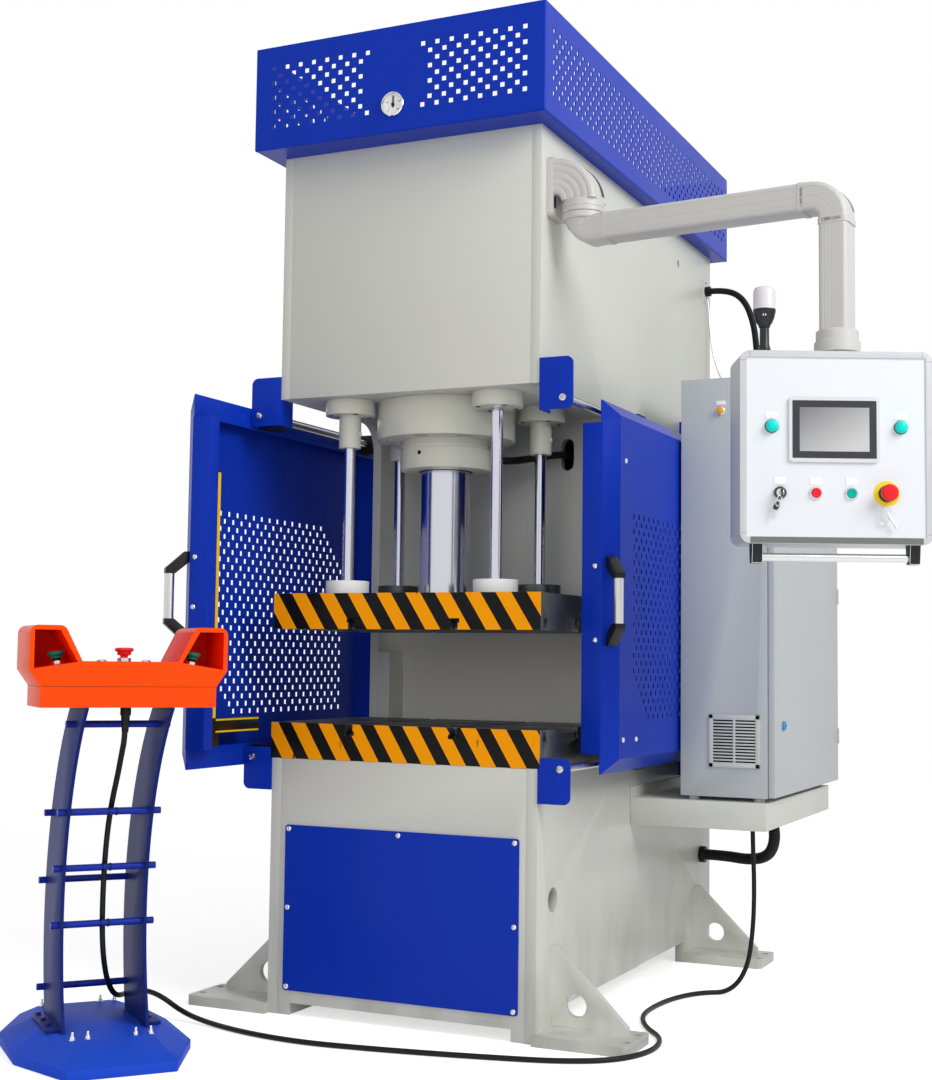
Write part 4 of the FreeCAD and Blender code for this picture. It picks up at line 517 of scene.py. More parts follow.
fixing, given, result = geometry_tree("seated_screws", [("Head", "Object"), ("Material", "Material")])
shape = linked(fixing, "GeometryNodeObjectInfo", {"Object": given["Head"], "As Instance": True}, "Geometry")
facing = linked(fixing, "GeometryNodeInputNamedAttribute", {"Name": "way"}, data_type="FLOAT_VECTOR")
turned_to = linked(fixing, "FunctionNodeAlignRotationToVector", {"Vector": facing}, axis="Z")
seated = linked(fixing, "GeometryNodeInstanceOnPoints", {
    "Points": given["Geometry"], "Instance": shape, "Rotation": turned_to})
finished(fixing, seated, given["Material"], result)


def screwed(name, head, finish, spots, body="press", slot="machined_steel"):
    """Seat and settle one head at every spot, which is a place and the way that it faces."""
    mesh = bpy.data.meshes.new(name)
    mesh.from_pydata([place for place, way in spots], [], [])
    ways = mesh.attributes.new("way", "FLOAT_VECTOR", "POINT")
    for number, (place, way) in enumerate(spots):
        ways.data[number].vector = way
    settled(grown(bpy.data.objects.new(name, mesh), fixing, {"Head": head, "Material": finish}), body, slot)


zinc = plated("zinc_plate", "D2D5D4", 0.3)
button_head = screw_head("button_head", 0.007, 0.0042, 0.0022)
softened("front_hatch", "access_panel", 0.0008, [guard_blue], "press", "guard_blue")
hatch_face = -0.664
hatch_spots = [((x, hatch_face, z), (0, -1, 0)) for z in (0.468, 0.270, 0.072) for x in (-0.314, 0.0, 0.314)
               if x or z > 0.4]
screwed("hatch_screws", button_head, zinc, hatch_spots)

# ---------------- guard on top of the head
# Four blue sheets of 3 mm with punched square holes in staggered rows, folded in to the head at the
# bottom. The front one has a field of holes each side of the gauge.


def folded_sheet(name, columns, rows, place, punched, left_out=lambda column, row: False, over=False):
    """Lay the inner face of a sheet out as a net of cells and mark the ones that get a hole."""
    wide = len(columns)
    mesh = bpy.data.meshes.new(name)
    cells, marks = [], []
    for row in range(len(rows) - 1):
        for column in range(wide - 1):
            if not left_out(column, row):
                first = row * wide + column
                cell = (first, first + 1, first + wide + 1, first + wide)
                cells.append(cell[::-1] if over else cell)
                marks.append(punched(column, row))
    mesh.from_pydata([place(a, b) for b in rows for a in columns], [], cells)
    mesh.attributes.new("hole", "BOOLEAN", "FACE").data.foreach_set("value", marks)
    return bpy.data.objects.new(name, mesh)


punching, given, result = geometry_tree("punched_sheet", [
    ("Thickness", "Float"), ("Hole share", "Float"), ("Material", "Material")])
marked = linked(punching, "GeometryNodeInputNamedAttribute", {"Name": "hole"}, data_type="BOOLEAN")
rim = linked(punching, "GeometryNodeExtrudeMesh", {
    "Mesh": given["Geometry"], "Selection": marked, "Individual": True, "Offset Scale": 0.0}, "Mesh").node
shrunk = linked(punching, "GeometryNodeScaleElements",
                {"Geometry": rim.outputs["Mesh"], "Selection": rim.outputs["Top"],
                 "Scale": given["Hole share"]}, domain="FACE")
opened = linked(punching, "GeometryNodeDeleteGeometry", {
    "Geometry": shrunk, "Selection": rim.outputs["Top"]}, domain="FACE")
welded = linked(punching, "GeometryNodeMergeByDistance", {"Geometry": opened, "Distance": weld_distance})
lifted = linked(punching, "GeometryNodeExtrudeMesh", {
    "Mesh": welded, "Offset Scale": given["Thickness"], "Individual": False}, mode="FACES")
flipped = linked(punching, "GeometryNodeFlipFaces", {"Mesh": welded})
both = linked(punching, "GeometryNodeJoinGeometry", {"Geometry": flipped})
punching.links.new(lifted, both.node.inputs["Geometry"])
closed = linked(punching, "GeometryNodeMergeByDistance", {"Geometry": both, "Distance": weld_distance})
finished(punching, closed, given["Material"], result)

cell = 0.0198
perforation = {"Thickness": 0.003, "Hole share": 0.63, "Material": guard_blue}
bend = 0.003
bend_points = [(bend * (1 - math.sin(math.pi / 8 * i)), bend * (1 - math.cos(math.pi / 8 * i)))
               for i in range(5)]


def guard_rows(reach):
    """List (inward, up) points of a sheet's inner face from the end of its flange to its top."""
    wall = [(0.0, 0.047 + 0.0195 * step) for step in range(10)] + [(0.0, 0.270)]
    return [(reach, 0.0)] + bend_points + wall


first_row = 6
guard_low, guard_front, guard_half, corner = 2.226, -0.7445, 0.4071, 0.0003
corner_turns = [guard_half + 0.0001 * i for i in range(4)]
front_columns = ([-x for x in corner_turns[::-1]] + [-0.367]
                 + [-0.3648 + cell * k for k in range(16)]
                 + [0.3664 - cell * k for k in range(15, -1, -1)] + [0.367] + corner_turns)
left_field, right_field = 5, 21


def front_place(across, row):
    """Place a point of the front sheet, turning the last millimetre at each end round the corner."""
    angle = max(0.0, (abs(across) - guard_half) / corner) * math.pi / 2
    flat = min(abs(across), guard_half)
    return (math.copysign(flat + corner * math.sin(angle), across),
            guard_front + row[0] + corner * (1 - math.cos(angle)), guard_low + row[1])


def front_hole(column, row):
    """Punch the two fields of the front sheet, leaving out three holes beside the gauge in each."""
    step = row - first_row
    for field, inner in ((left_field, 14), (right_field, 0)):
        number = column - field
        if 0 <= number <= 14 and 0 <= step <= 8 and (number + step) % 2 == 0:
            return not (number == inner and step in (2, 4, 6))
    return False


sheet = folded_sheet("guard_sheet_front", front_columns, guard_rows(0.0845), front_place, front_hole,
                     lambda column, row: row < 1
                     and abs(front_columns[column] + front_columns[column + 1]) > 0.734)
settled(grown(sheet, punching, perforation), "press", "guard_blue", "top_guard_front")
side_columns = [guard_front] + [-0.700 + cell * k for k in range(77)] + [0.835]
for word, side in (("left", -1), ("right", 1)):
    sheet = folded_sheet("guard_sheet_" + word, side_columns, guard_rows(0.0404),
                         lambda along, row: (side * (0.4074 - row[0]), along, guard_low + row[1]),
                         lambda column, row: 1 <= column <= 76 and 0 <= row - first_row <= 8
                         and (column + row - first_row) % 2 == 1, over=side < 0)
    settled(grown(sheet, punching, perforation), "press", "guard_blue", "top_guard_" + word)
softened("guard_sheet_rear", "top_guard_rear", 0.0008, [guard_blue], "press", "guard_blue")

# ---------------- pressure gauge
# A round dial gauge let into the front guard: polished bezel, white enamelled dial with printed
# scale, and a black needle on its own pin.
bright = plated("polished_bezel", "DCDDDD", 0.14)
dial_white = moulded("dial_enamel", "F1F1EE", 0.35, shift=0.02, depth=0.00001)
print_black = moulded("printed_black", "1B1C1E", 0.5, shift=0.05, depth=0.00001)
gauge_seat = seat_at((0.0, -0.7475, 2.292), (0, -1, 0))
gauge = turn(bmesh.new(), [(0.0265, -0.03), (0.0265, 0.0), (0.031, 0.0), (0.0315, 0.0015), (0.0315, 0.0095),
                           (0.03, 0.0118), (0.0285, 0.0118), (0.0275, 0.0085), (0.0275, 0.0035)], gauge_seat,
             48)
turn(gauge, [(0.0275, 0.0035), (0.0, 0.0035)], gauge_seat, 48, 1)
turn(gauge, [(0.0, -0.03), (0.0265, -0.03)], gauge_seat, 48)
dial_start, dial_sweep = 225, 270
for mark in range(41):
    angle = math.radians(dial_start - dial_sweep * mark / 40)
    inner = 0.0215 if mark % 10 == 0 else 0.0228 if mark % 5 == 0 else 0.0238
    wide = 0.0004 if mark % 10 == 0 else 0.0002
    stroke = gauge_seat @ Matrix.Rotation(angle, 4, "Z")
    slab(gauge, oblong((0.0252 - inner) / 2, wide, x=(0.0252 + inner) / 2), 0.0034, 0.0038, stroke, 2)
bmesh.ops.remove_doubles(gauge, verts=gauge.verts, dist=0.000005)
built("gauge_dial", gauge, [bright, dial_white, print_black], "press", "gauge_steel", "gauge_case")


def lettered(name, text, height, seat, finish):
    """Print plain figures on a seat, 0.2 mm thick."""
    words = bpy.data.curves.new(name, "FONT")
    words.body, words.size, words.extrude = text, height, 0.0001
    words.align_x, words.align_y = "CENTER", "CENTER"
    words.resolution_u = 3
    carrier = bpy.data.objects.new(name, words)
    scene.collection.objects.link(carrier)
    bpy.context.view_layer.update()
    mesh = bpy.data.meshes.new_from_object(carrier.evaluated_get(bpy.context.evaluated_depsgraph_get()))
    bpy.data.objects.remove(carrier)
    mesh.transform(seat)
    mesh.materials.clear()
    mesh.materials.append(finish)
    return bpy.data.objects.new(name, mesh)


for number in range(5):
    angle = math.radians(dial_start - dial_sweep / 4 * number)
    across, up = 0.0178 * math.cos(angle), 0.0178 * math.sin(angle)
    spot = gauge_seat @ Matrix.Translation((across, up, 0.0037))
    settled(lettered("gauge_figure_%d" % number, str(100 * number), 0.0052, spot, print_black), "press",
            "needle_black")
softened("gauge_pointer", "gauge_needle", 0.0002, [print_black], "pointer", "needle_black")

# ---------------- cylinder and guide bushes
# The cylinder hangs from the head by a thick flange with eight socket screws in deep pockets. Its
# gland and the four flanged bushes of the guide rods are painted with the frame.


def skinned(bm, part=None, face=None):
    """Number the material of each separate solid by its box, or of each face by its middle and normal."""
    if face:
        for each in bm.faces:
            each.material_index = face(each.calc_center_median(), each.normal)
        return bm
    waiting = set(bm.faces)
    while waiting:
        solid, edge_of_it = [], [waiting.pop()]
        while edge_of_it:
            each = edge_of_it.pop()
            solid.append(each)
            for near in {other for edge in each.edges for other in edge.link_faces} & waiting:
                waiting.discard(near)
                edge_of_it.append(near)
        spots = [vert.co for each in solid for vert in each.verts]
        low = Vector([min(spot[i] for spot in spots) for i in range(3)])
        high = Vector([max(spot[i] for spot in spots) for i in range(3)])
        number = part(low, high)
        if number is None:
            bmesh.ops.delete(bm, geom=solid, context="FACES")
        else:
            for each in solid:
                each.material_index = number
    return bm


casting_grey = paint("casting_grey", "C8C9BD", roughness=0.3, shift=0.07, peel=0.00012, coat=0.2)
blackened = plated("blackened_screws", "3A3B3D", 0.4)
# Near-black for holes and the backs of slots is painted shade.
dark_hole = moulded("dark_hole", "070708", 0.8)
softened("cylinder_housing", "cylinder_barrel", 0.0012, [casting_grey], "press", "frame_paint")
cylinder_y = -0.420
middle = Matrix.Translation((0.0, cylinder_y, 0.0))
gland = turn(bmesh.new(), [(0.0653, 1.5), (0.0653, 1.4), (0.115, 1.4), (0.1185, 1.4015), (0.12, 1.405),
                           (0.12, 1.4545), (0.119, 1.4552), (0.119, 1.4562), (0.12, 1.457), (0.12, 1.464),
                           (0.119, 1.4647), (0.119, 1.4657), (0.12, 1.4665), (0.12, 1.479), (0.0997, 1.479),
                           (0.0997, 1.5), (0.0653, 1.5)], middle, 96)
# A near-black disc in the side of the gland stands for its bleed hole, as painted shade.
bleed = math.radians(-99.7)
turn(gland, [(0.0, -0.004), (0.0055, -0.004), (0.0055, 0.0004), (0.0, 0.0004)],
     seat_at((0.1200 * math.cos(bleed), cylinder_y + 0.1200 * math.sin(bleed), 1.440),
             (math.cos(bleed), math.sin(bleed), 0)), 16, 1)
turn(gland, [(0.0652, 1.402), (0.0652, 1.3988), (0.0715, 1.3988), (0.0725, 1.402), (0.0652, 1.402)], middle,
     64, 2)
built("cylinder_gland_ring", gland, [casting_grey, dark_hole, black_rubber], "press", "frame_paint",
      "cylinder_gland")
softened("rod_bushes", "guide_bushes", 0.0015, [casting_grey], "press", "bush_steel")
socket_head = screw_head("socket_head", 0.013, 0.018, 0.007, domed=False, sides=20)
small_socket = screw_head("small_socket", 0.0065, 0.0012, 0.0036, domed=False)
rod_places = [(x, y) for x in (-0.212, 0.212) for y in (-0.564, -0.276)]


def bolt_circle(x, y, z, radius, count, first=0.0):
    """Give the spots of screws that point down, evenly round a centre."""
    angles = [first + math.tau / count * i for i in range(count)]
    return [((x + radius * math.cos(a), y + radius * math.sin(a), z), (0, 0, -1)) for a in angles]


flange_spots = bolt_circle(0.0, cylinder_y, 1.505, 0.150, 8)
bush_spots = [spot for x, y in rod_places for spot in bolt_circle(x, y, 1.539, 0.052, 4, math.pi / 4)]
screwed("flange_screws", socket_head, blackened, flange_spots)
screwed("bush_screws", small_socket, blackened, bush_spots)
bleed_spots = [((x + 0.029, y, 1.492), (1, 0, 0)) for x, y in rod_places if (x, y) != (0.212, -0.564)]
screwed("bush_nipples", button_head, casting_grey, bleed_spots, slot="bush_steel")

# ---------------- ram rod and guide rods
# Ground and hard-chromed bars, held in the ram plate by round collars.
chrome = plated("hard_chrome", "CFD0D8", 0.17, shift=0.02)
bars = turn(bmesh.new(), [(0.0, 1.07), (0.065, 1.07), (0.065, 1.74), (0.0985, 1.74), (0.0997, 1.7412),
                          (0.0997, 1.7988), (0.0985, 1.8), (0.0, 1.8)], middle, 96)
built("ram_rod", bars, [chrome], "ram", "hard_chrome", "piston_rod")
bars = bmesh.new()
for x, y in rod_places:
    turn(bars, [(0.0, 1.07), (0.015, 1.07), (0.015, 1.8385), (0.0135, 1.84), (0.0, 1.84)],
         Matrix.Translation((x, y, 0.0)), 48)
built("guide_bars", bars, [chrome], "ram", "hard_chrome", "guide_rods")

# ---------------- ram plate and bolster
# Two thick machined plates with crossing T-slots. Their front edges are black with orange-yellow
# hazard stripes, and the front collars of the ram are enamelled white.


def machined(name, code, roughness=0.35, darkening="1E1F20"):
    """Make milled steel with fine cutter lines, handling marks and a film of oil."""
    finish = Finish(name)
    lines = finish.noise(340, 2, (1, 0.03, 1))
    smear = finish.clamped(finish.noise(7, 4, (1, 0.5, 1)), 0.35, 0.75)
    worn = finish.between(smear * 0.55, colour(code), colour(darkening, 2.2))
    finish.set(base_color=finish.between(lines * 0.35, worn, colour(code, 1.25)), metallic=0.85,
               roughness=roughness + smear * 0.18 + (lines - 0.5) * 0.12)
    finish.bump(lines, 0.00003)
    return finish.material


milled = machined("milled_steel", "5C5F60")
black_paint = paint("black_paint", "121213", roughness=0.4, shift=0.2, specular=0.12)
collar_white = paint("collar_white", "EEEFEB", roughness=0.32, shift=0.03)
stripe_yellow = Finish("hazard_yellow")
scratch = stripe_yellow.clamped(stripe_yellow.noise(38, 6, (1, 1, 0.35)), 0.66, 0.72)
tone = stripe_yellow.noise(4, 3)
stripe_yellow.set(base_color=stripe_yellow.between(
    scratch * 0.85, stripe_yellow.between(tone, colour("F89800"), colour("FFA604")), colour("2A2418")),
    roughness=0.42 + tone * 0.1, specular_ior_level=0.12)
stripe_yellow.bump(scratch, -0.00008)
for node, name, body in (("ram_plate", "ram_table", "ram"), ("bolster", "bed_table", "press")):
    plates = eased(own_copy(node), 0.0012, above=60)
    skinned(plates, face=lambda spot, way: 1 if way.y < -0.9 and spot.y < -0.655 else 0)
    for each in plates.faces:
        spot = each.calc_center_median()
        if node == "ram_plate" and spot.z > 1.0703:
            each.material_index = 2 if spot.y < -0.45 else 0
    built(name, plates, [milled, black_paint, collar_white], body, "machined_steel", node)
for node, name, body in (("ram_stripes", "ram_hazard_stripes", "ram"),
                         ("bolster_stripes", "bed_hazard_stripes", "press")):
    built(name, own_copy(node), [stripe_yellow.material], body, "hazard_yellow", node)

# ---------------- guard rails
# Folded blue brackets carry a round bar on each side, top and bottom, along which the doors slide.
brackets = skinned(own_copy("guard_rails"), part=lambda low, high: None if high.y - low.y > 1 else 0)
built("rail_brackets", eased(brackets, 0.0012), [guard_blue], "press", "guard_blue", "guard_rails")
steel_bar = plated("drawn_bar", "B9BCBF", 0.25, brushed=(1, 0.02, 1), scale=700)
bars = bmesh.new()
for x in (-0.430, 0.430):
    for z in (0.648, 1.538):
        turn(bars, [(0.0, -1.136), (0.01, -1.136), (0.01, 0.0), (0.0102, 0.0), (0.0102, 0.0035),
                    (0.0085, 0.0065), (0.004, 0.008), (0.0036, 0.0055), (0.0, 0.0055)],
             seat_at((x, -0.664, z), (0, -1, 0)), 28)
built("rail_bars", bars, [steel_bar], "press", "machined_steel")

# ---------------- sliding doors
# Each door is a welded tray of blue sheet with a flared rim all round, and its face is punched with
# a field of square holes. Two dark runners at the top and two below ride on the bars.
runner_black = moulded("runner_plastic", "1B1B1C", 0.5)
handle_black = moulded("handle_black", "121213", 0.42, coat=0.2)
satin = plated("satin_aluminium", "CFD0CF", 0.32, brushed=(1, 1, 0.02), scale=600)
field_columns = [0.037] + [0.1311 + cell * k for k in range(36)] + [0.913]
field_rows = [0.662] + [0.7521 + cell * k for k in range(28)] + [1.523]


def field_hole(column, row):
    """Punch every other cell of the door's field, with its lower front and upper rear corners cut off."""
    c, r = column - 1, row - 1
    return 0 <= c <= 34 and 0 <= r <= 26 and (c + r) % 2 == 0 and c + r >= 6 and (34 - c) + (26 - r) >= 6


doors = (("left", -1, -0.918), ("right", 1, -0.476))
door_face = 0.494
for word, side, start in doors:
    body = word + "_guard"
    tray = own_copy(word + "_guard_door")
    skinned(tray, part=lambda low, high: 1 if high.y - low.y < 0.2 else 0)
    skin = [each for each in tray.faces if all(abs(vert.co.x) > door_face - 0.0001 for vert in each.verts)]
    bmesh.ops.delete(tray, geom=skin, context="FACES")
    rim = [edge for edge in tray.edges if edge.is_boundary]
    bmesh.ops.bridge_loops(tray, edges=rim)
    eased(tray, 0.0012, only=lambda edge: max(abs(vert.co.x) for vert in edge.verts) < door_face - 0.0005)
    built(word + "_door_tray", tray, [guard_blue, runner_black], body, "guard_blue", word + "_guard_door")
    face = folded_sheet(word + "_door_face", field_columns, field_rows,
                        lambda a, b: (side * door_face, start + a, b), field_hole, over=side < 0)
    settled(grown(face, punching, perforation), body, "guard_blue")
    grip = eased(own_copy(word + "_guard_handle"), 0.0025, 3)
    sleeve = Matrix.Translation((side * 0.51173, start - 0.01473, 0.0))
    turn(grip, [(0.0118, 0.9975), (0.0126, 0.9975), (0.0126, 1.1095), (0.0118, 1.1095), (0.0118, 0.9975)],
         sleeve, 28, 1)
    built(word + "_door_grip", grip, [handle_black, satin], body, "handle_metal", word + "_guard_handle")

# Zinc-plated button heads show in the front edge of each door and in the side of the right one.
front_spots = {"left": [(-0.4472, 1.1502), (-0.4495, 1.0262)], "right": [(0.4439, 1.1413), (0.4451, 0.9570)]}
side_spots = {"left": [], "right": [(-0.3986, 1.4119), (-0.4112, 0.7091), (-0.3119, 0.7076)]}
for word, side, start in doors:
    spots = [((x, start, z), (0, -1, 0)) for x, z in front_spots[word]]
    spots += [((side * 0.4970, y, z), (side, 0, 0)) for y, z in side_spots[word]]
    screwed(word + "_door_screws", button_head, zinc, spots, word + "_guard")

# ---------------- light curtains
# A slim black light curtain stands inside the front edge of each door, with an arm along the bottom
# and a shoe below it. A yellow strip runs down its window and two run along the arm.
curtain_black = moulded("curtain_black", "0E0E0F", 0.35, coat=0.2)
curtain_yellow = moulded("curtain_yellow", "F2C400", 0.4, shift=0.04)
curtain_mark = moulded("curtain_mark", "D8D8D4", 0.5, shift=0.03)
for word, side, start in doors:
    curtain = own_copy("light_curtain_" + word)
    for vert in curtain.verts:
        if 0.760 < vert.co.z < 0.780:
            vert.co.z = 0.750
        if vert.co.z > 0.745 and 0.060 < vert.co.y - start < 0.080:
            vert.co.y = start + 0.060
        vert.co.y = min(vert.co.y, start + 0.258)
    eased(curtain, 0.0012)
    seat = seat_at((side * 0.415, start, 0.0), (-side, 0, 0))
    for low, high, bottom, top in (
            (0.039, 0.0575, 0.752, 1.366), (0.06, 0.256, 0.745, 0.7492), (0.06, 0.256, 0.7158, 0.72)):
        slab(curtain, oblong((high - low) / 2, (top - bottom) / 2, x=-side * (low + high) / 2,
                             y=(bottom + top) / 2), -0.0022, 0.0008, seat, 1)
    for y, z in ((0.012, 0.708), (0.020, 0.708), (0.030, 0.694)):
        slab(curtain, oblong(0.0016, 0.0016, x=-side * y, y=z), -0.0005, 0.0004, seat, 2)
    built(word + "_curtain", curtain, [curtain_black, curtain_yellow, curtain_mark], word + "_guard",
          "curtain_black", "light_curtain_" + word)

# ---------------- cabinet on its shelf
# A folded steel shelf bolted to the frame carries the electrical cabinet. Its door opens to the side
# on a black rubber seal, and the gear inside is screwed to a zinc-plated mounting plate.
softened("cabinet_bracket", "cabinet_shelf", 0.0015, [frame_grey], "press", "frame_paint")
cabinet_grey = paint("cabinet_grey", "B4B9BC", roughness=0.42, shift=0.03, peel=0.0001)
rubber = moulded("door_rubber", "0C0C0D", 0.6)
shell = eased(own_copy("cabinet_body"), 0.0012)
rightward = seat_at((0.0, 0.0, 0.0), (1, 0, 0))
for near, far, low, high in ((0.0415, 0.8385, 0.5425, 0.5505), (0.0415, 0.8385, 1.6805, 1.6885),
                             (0.0415, 0.0495, 0.5425, 1.6885), (0.8305, 0.8385, 0.5425, 1.6885)):
    slab(shell, oblong((far - near) / 2, (high - low) / 2, x=(near + far) / 2, y=(low + high) / 2), 0.7472,
         0.7487, rightward, 1)
built("cabinet_shell", shell, [cabinet_grey, rubber], "press", "cabinet_paint", "cabinet_body")
softened("cabinet_leaf_panel", "cabinet_door", 0.0030, [cabinet_grey], "cabinet_leaf", "cabinet_paint", 3)
hinges = bmesh.new()
for z in (0.68, 1.115, 1.55):
    turn(hinges, [(0.0, z - 0.024), (0.003, z - 0.024), (0.0035, z - 0.023), (0.0035, z + 0.023),
                  (0.003, z + 0.024), (0.0, z + 0.024)], Matrix.Translation((0.7680, 0.8364, 0.0)), 16)
built("cabinet_hinges", hinges, [cabinet_grey], "press", "cabinet_paint")
lock_blue = moulded("lock_blue", "3C8AC6", 0.35, coat=0.3)
lock_seat = seat_at((0.768, 0.131, 0.734), (1, 0, 0))
lock = turn(bmesh.new(), [(0.0, -0.01), (0.0085, -0.01), (0.0085, 0.0), (0.0128, 0.0), (0.013, 0.0008),
                          (0.013, 0.005), (0.0115, 0.0068), (0.0095, 0.007), (0.0088, 0.0052), (0.0, 0.0052)],
            lock_seat, 28)
slab(lock, oblong(0.007, 0.0013), 0.0045, 0.0066, lock_seat, 1)
built("cabinet_quarter_lock", lock, [lock_blue, rubber], "lock", "lock_blue", "cabinet_lock")

# The grille has a moulded frame round two columns of slots with a filter mat behind them, drawn near-black as
# painted shade seen through the slots.
vent_grey = moulded("vent_grey", "C3C5C2", 0.5, shift=0.04)
vent_seat = seat_at((0.6565, 0.040, 0.6925), (0, -1, 0))
vent = slab(bmesh.new(), oblong(0.07, 0.071, 0.004), 0.0, 0.0012, vent_seat, 1)
for half_x, half_y, x, y in ((0.07, 0.0055, 0, 0.0655), (0.07, 0.0055, 0, -0.0655),
                             (0.0055, 0.071, 0.0645, 0), (0.0055, 0.071, -0.0645, 0), (0.003, 0.061, 0, 0)):
    slab(vent, oblong(half_x, half_y, x=x, y=y), 0.0, 0.0048, vent_seat)
for step in range(15):
    slab(vent, oblong(0.06, 0.0022, y=-0.0595 + 0.0085 * step), 0.0, 0.0042, vent_seat)
built("vent_cover", eased(vent, 0.0006), [vent_grey, dark_hole], "press", "cabinet_paint", "vent_grille")

gear_white = moulded("gear_white", "D5D6D2", 0.5, shift=0.05)
gear_dark = moulded("gear_dark", "3B3E42", 0.5)
gear = skinned(own_copy("control_gear"),
               face=lambda spot, way: 0 if spot.x < 0.5125 else 1 + (0.95 < spot.z < 1.30))
built("mounted_gear", eased(gear, 0.0015), [zinc, gear_white, gear_dark], "press", "gear_plastic",
      "control_gear")

# ---------------- lamps, glands and pipe
# An orange lamp shows that the supply is on. Black glands hold the conduits, and a thin pipe runs
# from an oval plate on the frame to the top of the cabinet.
bright_ring = plated("polished_ring", "DADBDC", 0.16)
lamp_orange = moulded("lamp_orange", "F09A12", 0.25, shift=0.05, coat=0.6)
lamp_clear = moulded("lamp_clear", "E9D9D2", 0.2, shift=0.03, coat=0.6)
tag_white = moulded("tag_white", "EDEDEB", 0.4, shift=0.01)
deck = 0.891
lamps = bmesh.new()
supply = seat_at((0.619, 0.040, 1.598), (0, -1, 0))
turn(lamps, [(0.0, 0.0), (0.012, 0.0), (0.012, 0.006), (0.0105, 0.0075), (0.0, 0.0075)], supply, 24, 0)
turn(lamps, [(0.0, 0.0075), (0.0098, 0.0075), (0.0096, 0.0115), (0.0075, 0.014), (0.004, 0.0148),
             (0.0, 0.015)], supply, 24, 1)
slab(lamps, oblong(0.013, 0.0055, 0.001, y=0.0225), 0.0, 0.001, supply, 3)
for x, y in ((-0.4159, -1.3139), (-0.3517, -1.2373)):
    on_deck = Matrix.Translation((x, y, deck))
    turn(lamps, [(0.0, -0.002), (0.011, -0.002), (0.011, 0.0022), (0.0095, 0.0034), (0.0082, 0.003),
                 (0.0, 0.003)], on_deck, 24, 0)
    turn(lamps, [(0.0, 0.003), (0.008, 0.003), (0.0072, 0.0042), (0.004, 0.0049), (0.0, 0.005)], on_deck, 24,
         2)
built("signal_lamps", lamps, [bright_ring, lamp_orange, lamp_clear, tag_white], "press", "lamp_white",
      "indicator_lamps")
gland_black = moulded("gland_black", "131415", 0.5)
glands = eased(own_copy("cable_glands"), 0.0010)
for x, y, top, low in ((0.680, 0.140, 0.508, 0.470), (-0.366, -1.288, 0.773, 0.734)):
    turn(glands, [(0.0068, low), (0.0074, low), (0.0078, low + 0.006), (0.0098, top - 0.006), (0.0102, top),
                  (0.0068, top), (0.0068, low)], Matrix.Translation((x, y, 0.0)), 20)
built("cable_entries", glands, [gland_black], "press", "gland_plastic", "cable_glands")
plate = slab(bmesh.new(), oblong(0.0185, 0.04, 0.018, x=0.735, y=2.104, steps=8), 0.3668, 0.369, rightward)
turn(plate, [(0.0, 0.0), (0.0035, 0.0), (0.003, 0.0016), (0.0, 0.0018)],
     seat_at((0.3690, 0.735, 2.132), (1, 0, 0)), 12, 1)
built("gland_plate", plate, [frame_grey, blackened], "press", "frame_paint")
pipe = smooth_line("thin_pipe", [(0.3690, 0.735, 2.085), (0.3770, 0.735, 2.080), (0.3810, 0.735, 2.000),
                                 (0.3930, 0.735, 1.890), (0.4300, 0.728, 1.790), (0.5050, 0.712, 1.735),
                                 (0.5400, 0.705, 1.712), (0.5400, 0.705, 1.6885)], 0)
settled(grown(pipe, ribbing, {"Radius": 0.0024, "Rib": 0.0, "Pitch": 0.020, "Material": zinc}), "press",
        "cable_rubber")

# ---------------- swing arm
# The panel hangs from a hollow aluminium arm with ribbed elbows, painted silver grey. It swivels
# below the wall mount, and the panel swivels under its drop tube.
arm_silver = paint("arm_silver", "C4C2BF", roughness=0.34, shift=0.02, peel=0.00003)
groove_grey = moulded("groove_grey", "75777A", 0.5, shift=0.05)


def profiled(bm, seat, path, half_high, half_deep, grooves, corner=0.009, skin=0):
    """Sweep a rounded tube with grooves in both sides along points of (x, z, heading in degrees)."""
    side = []
    for groove in sorted(grooves):
        side += [(groove - 0.0012, 0.0), (groove, -0.0007), (groove + 0.0012, 0.0)]
    arc = [(corner * (1 - math.cos(math.radians(a))), corner * (1 - math.sin(math.radians(a))))
           for a in (0, 22.5, 45, 67.5, 90)]
    upper = [(half_high - drop, half_deep - back) for back, drop in arc]
    lower = [(-n, y) for n, y in reversed(upper)]
    right = lower + [(n, half_deep + y) for n, y in side] + upper
    section = right + [(n, -y) for n, y in reversed(right)]
    rings = []
    for x, z, heading in path:
        along = math.radians(heading)
        rings.append([bm.verts.new(seat @ Vector((x - n * math.sin(along), y, z + n * math.cos(along))))
                      for n, y in section])
    made = [bm.faces.new(rings[0]), bm.faces.new(rings[-1])]
    for lower, upper in zip(rings, rings[1:]):
        for i in range(len(section)):
            j = (i + 1) % len(section)
            made.append(bm.faces.new((lower[i], lower[j], upper[j], upper[i])))
    bmesh.ops.recalc_face_normals(bm, faces=made)
    for each in made:
        each.material_index = skin


def quarter(x, z, radius, start, way, steps=8):
    """Give a quarter bend's points and headings about a centre."""
    points = []
    for step in range(steps + 1):
        angle = start + way * 90 * step / steps
        points.append((x + radius * math.cos(math.radians(angle)), z + radius * math.sin(math.radians(angle)),
                       angle + way * 90))
    return points


def band(bm, seat, inner, outer, start, stop, low, high, skin, steps=10):
    """Lay a curved strip, as on the outside of an elbow."""
    angles = [math.radians(start + (stop - start) * i / steps) for i in range(steps + 1)]
    slab(bm, [(outer * math.cos(a), outer * math.sin(a)) for a in angles]
         + [(inner * math.cos(a), inner * math.sin(a)) for a in reversed(angles)], low, high, seat, skin)


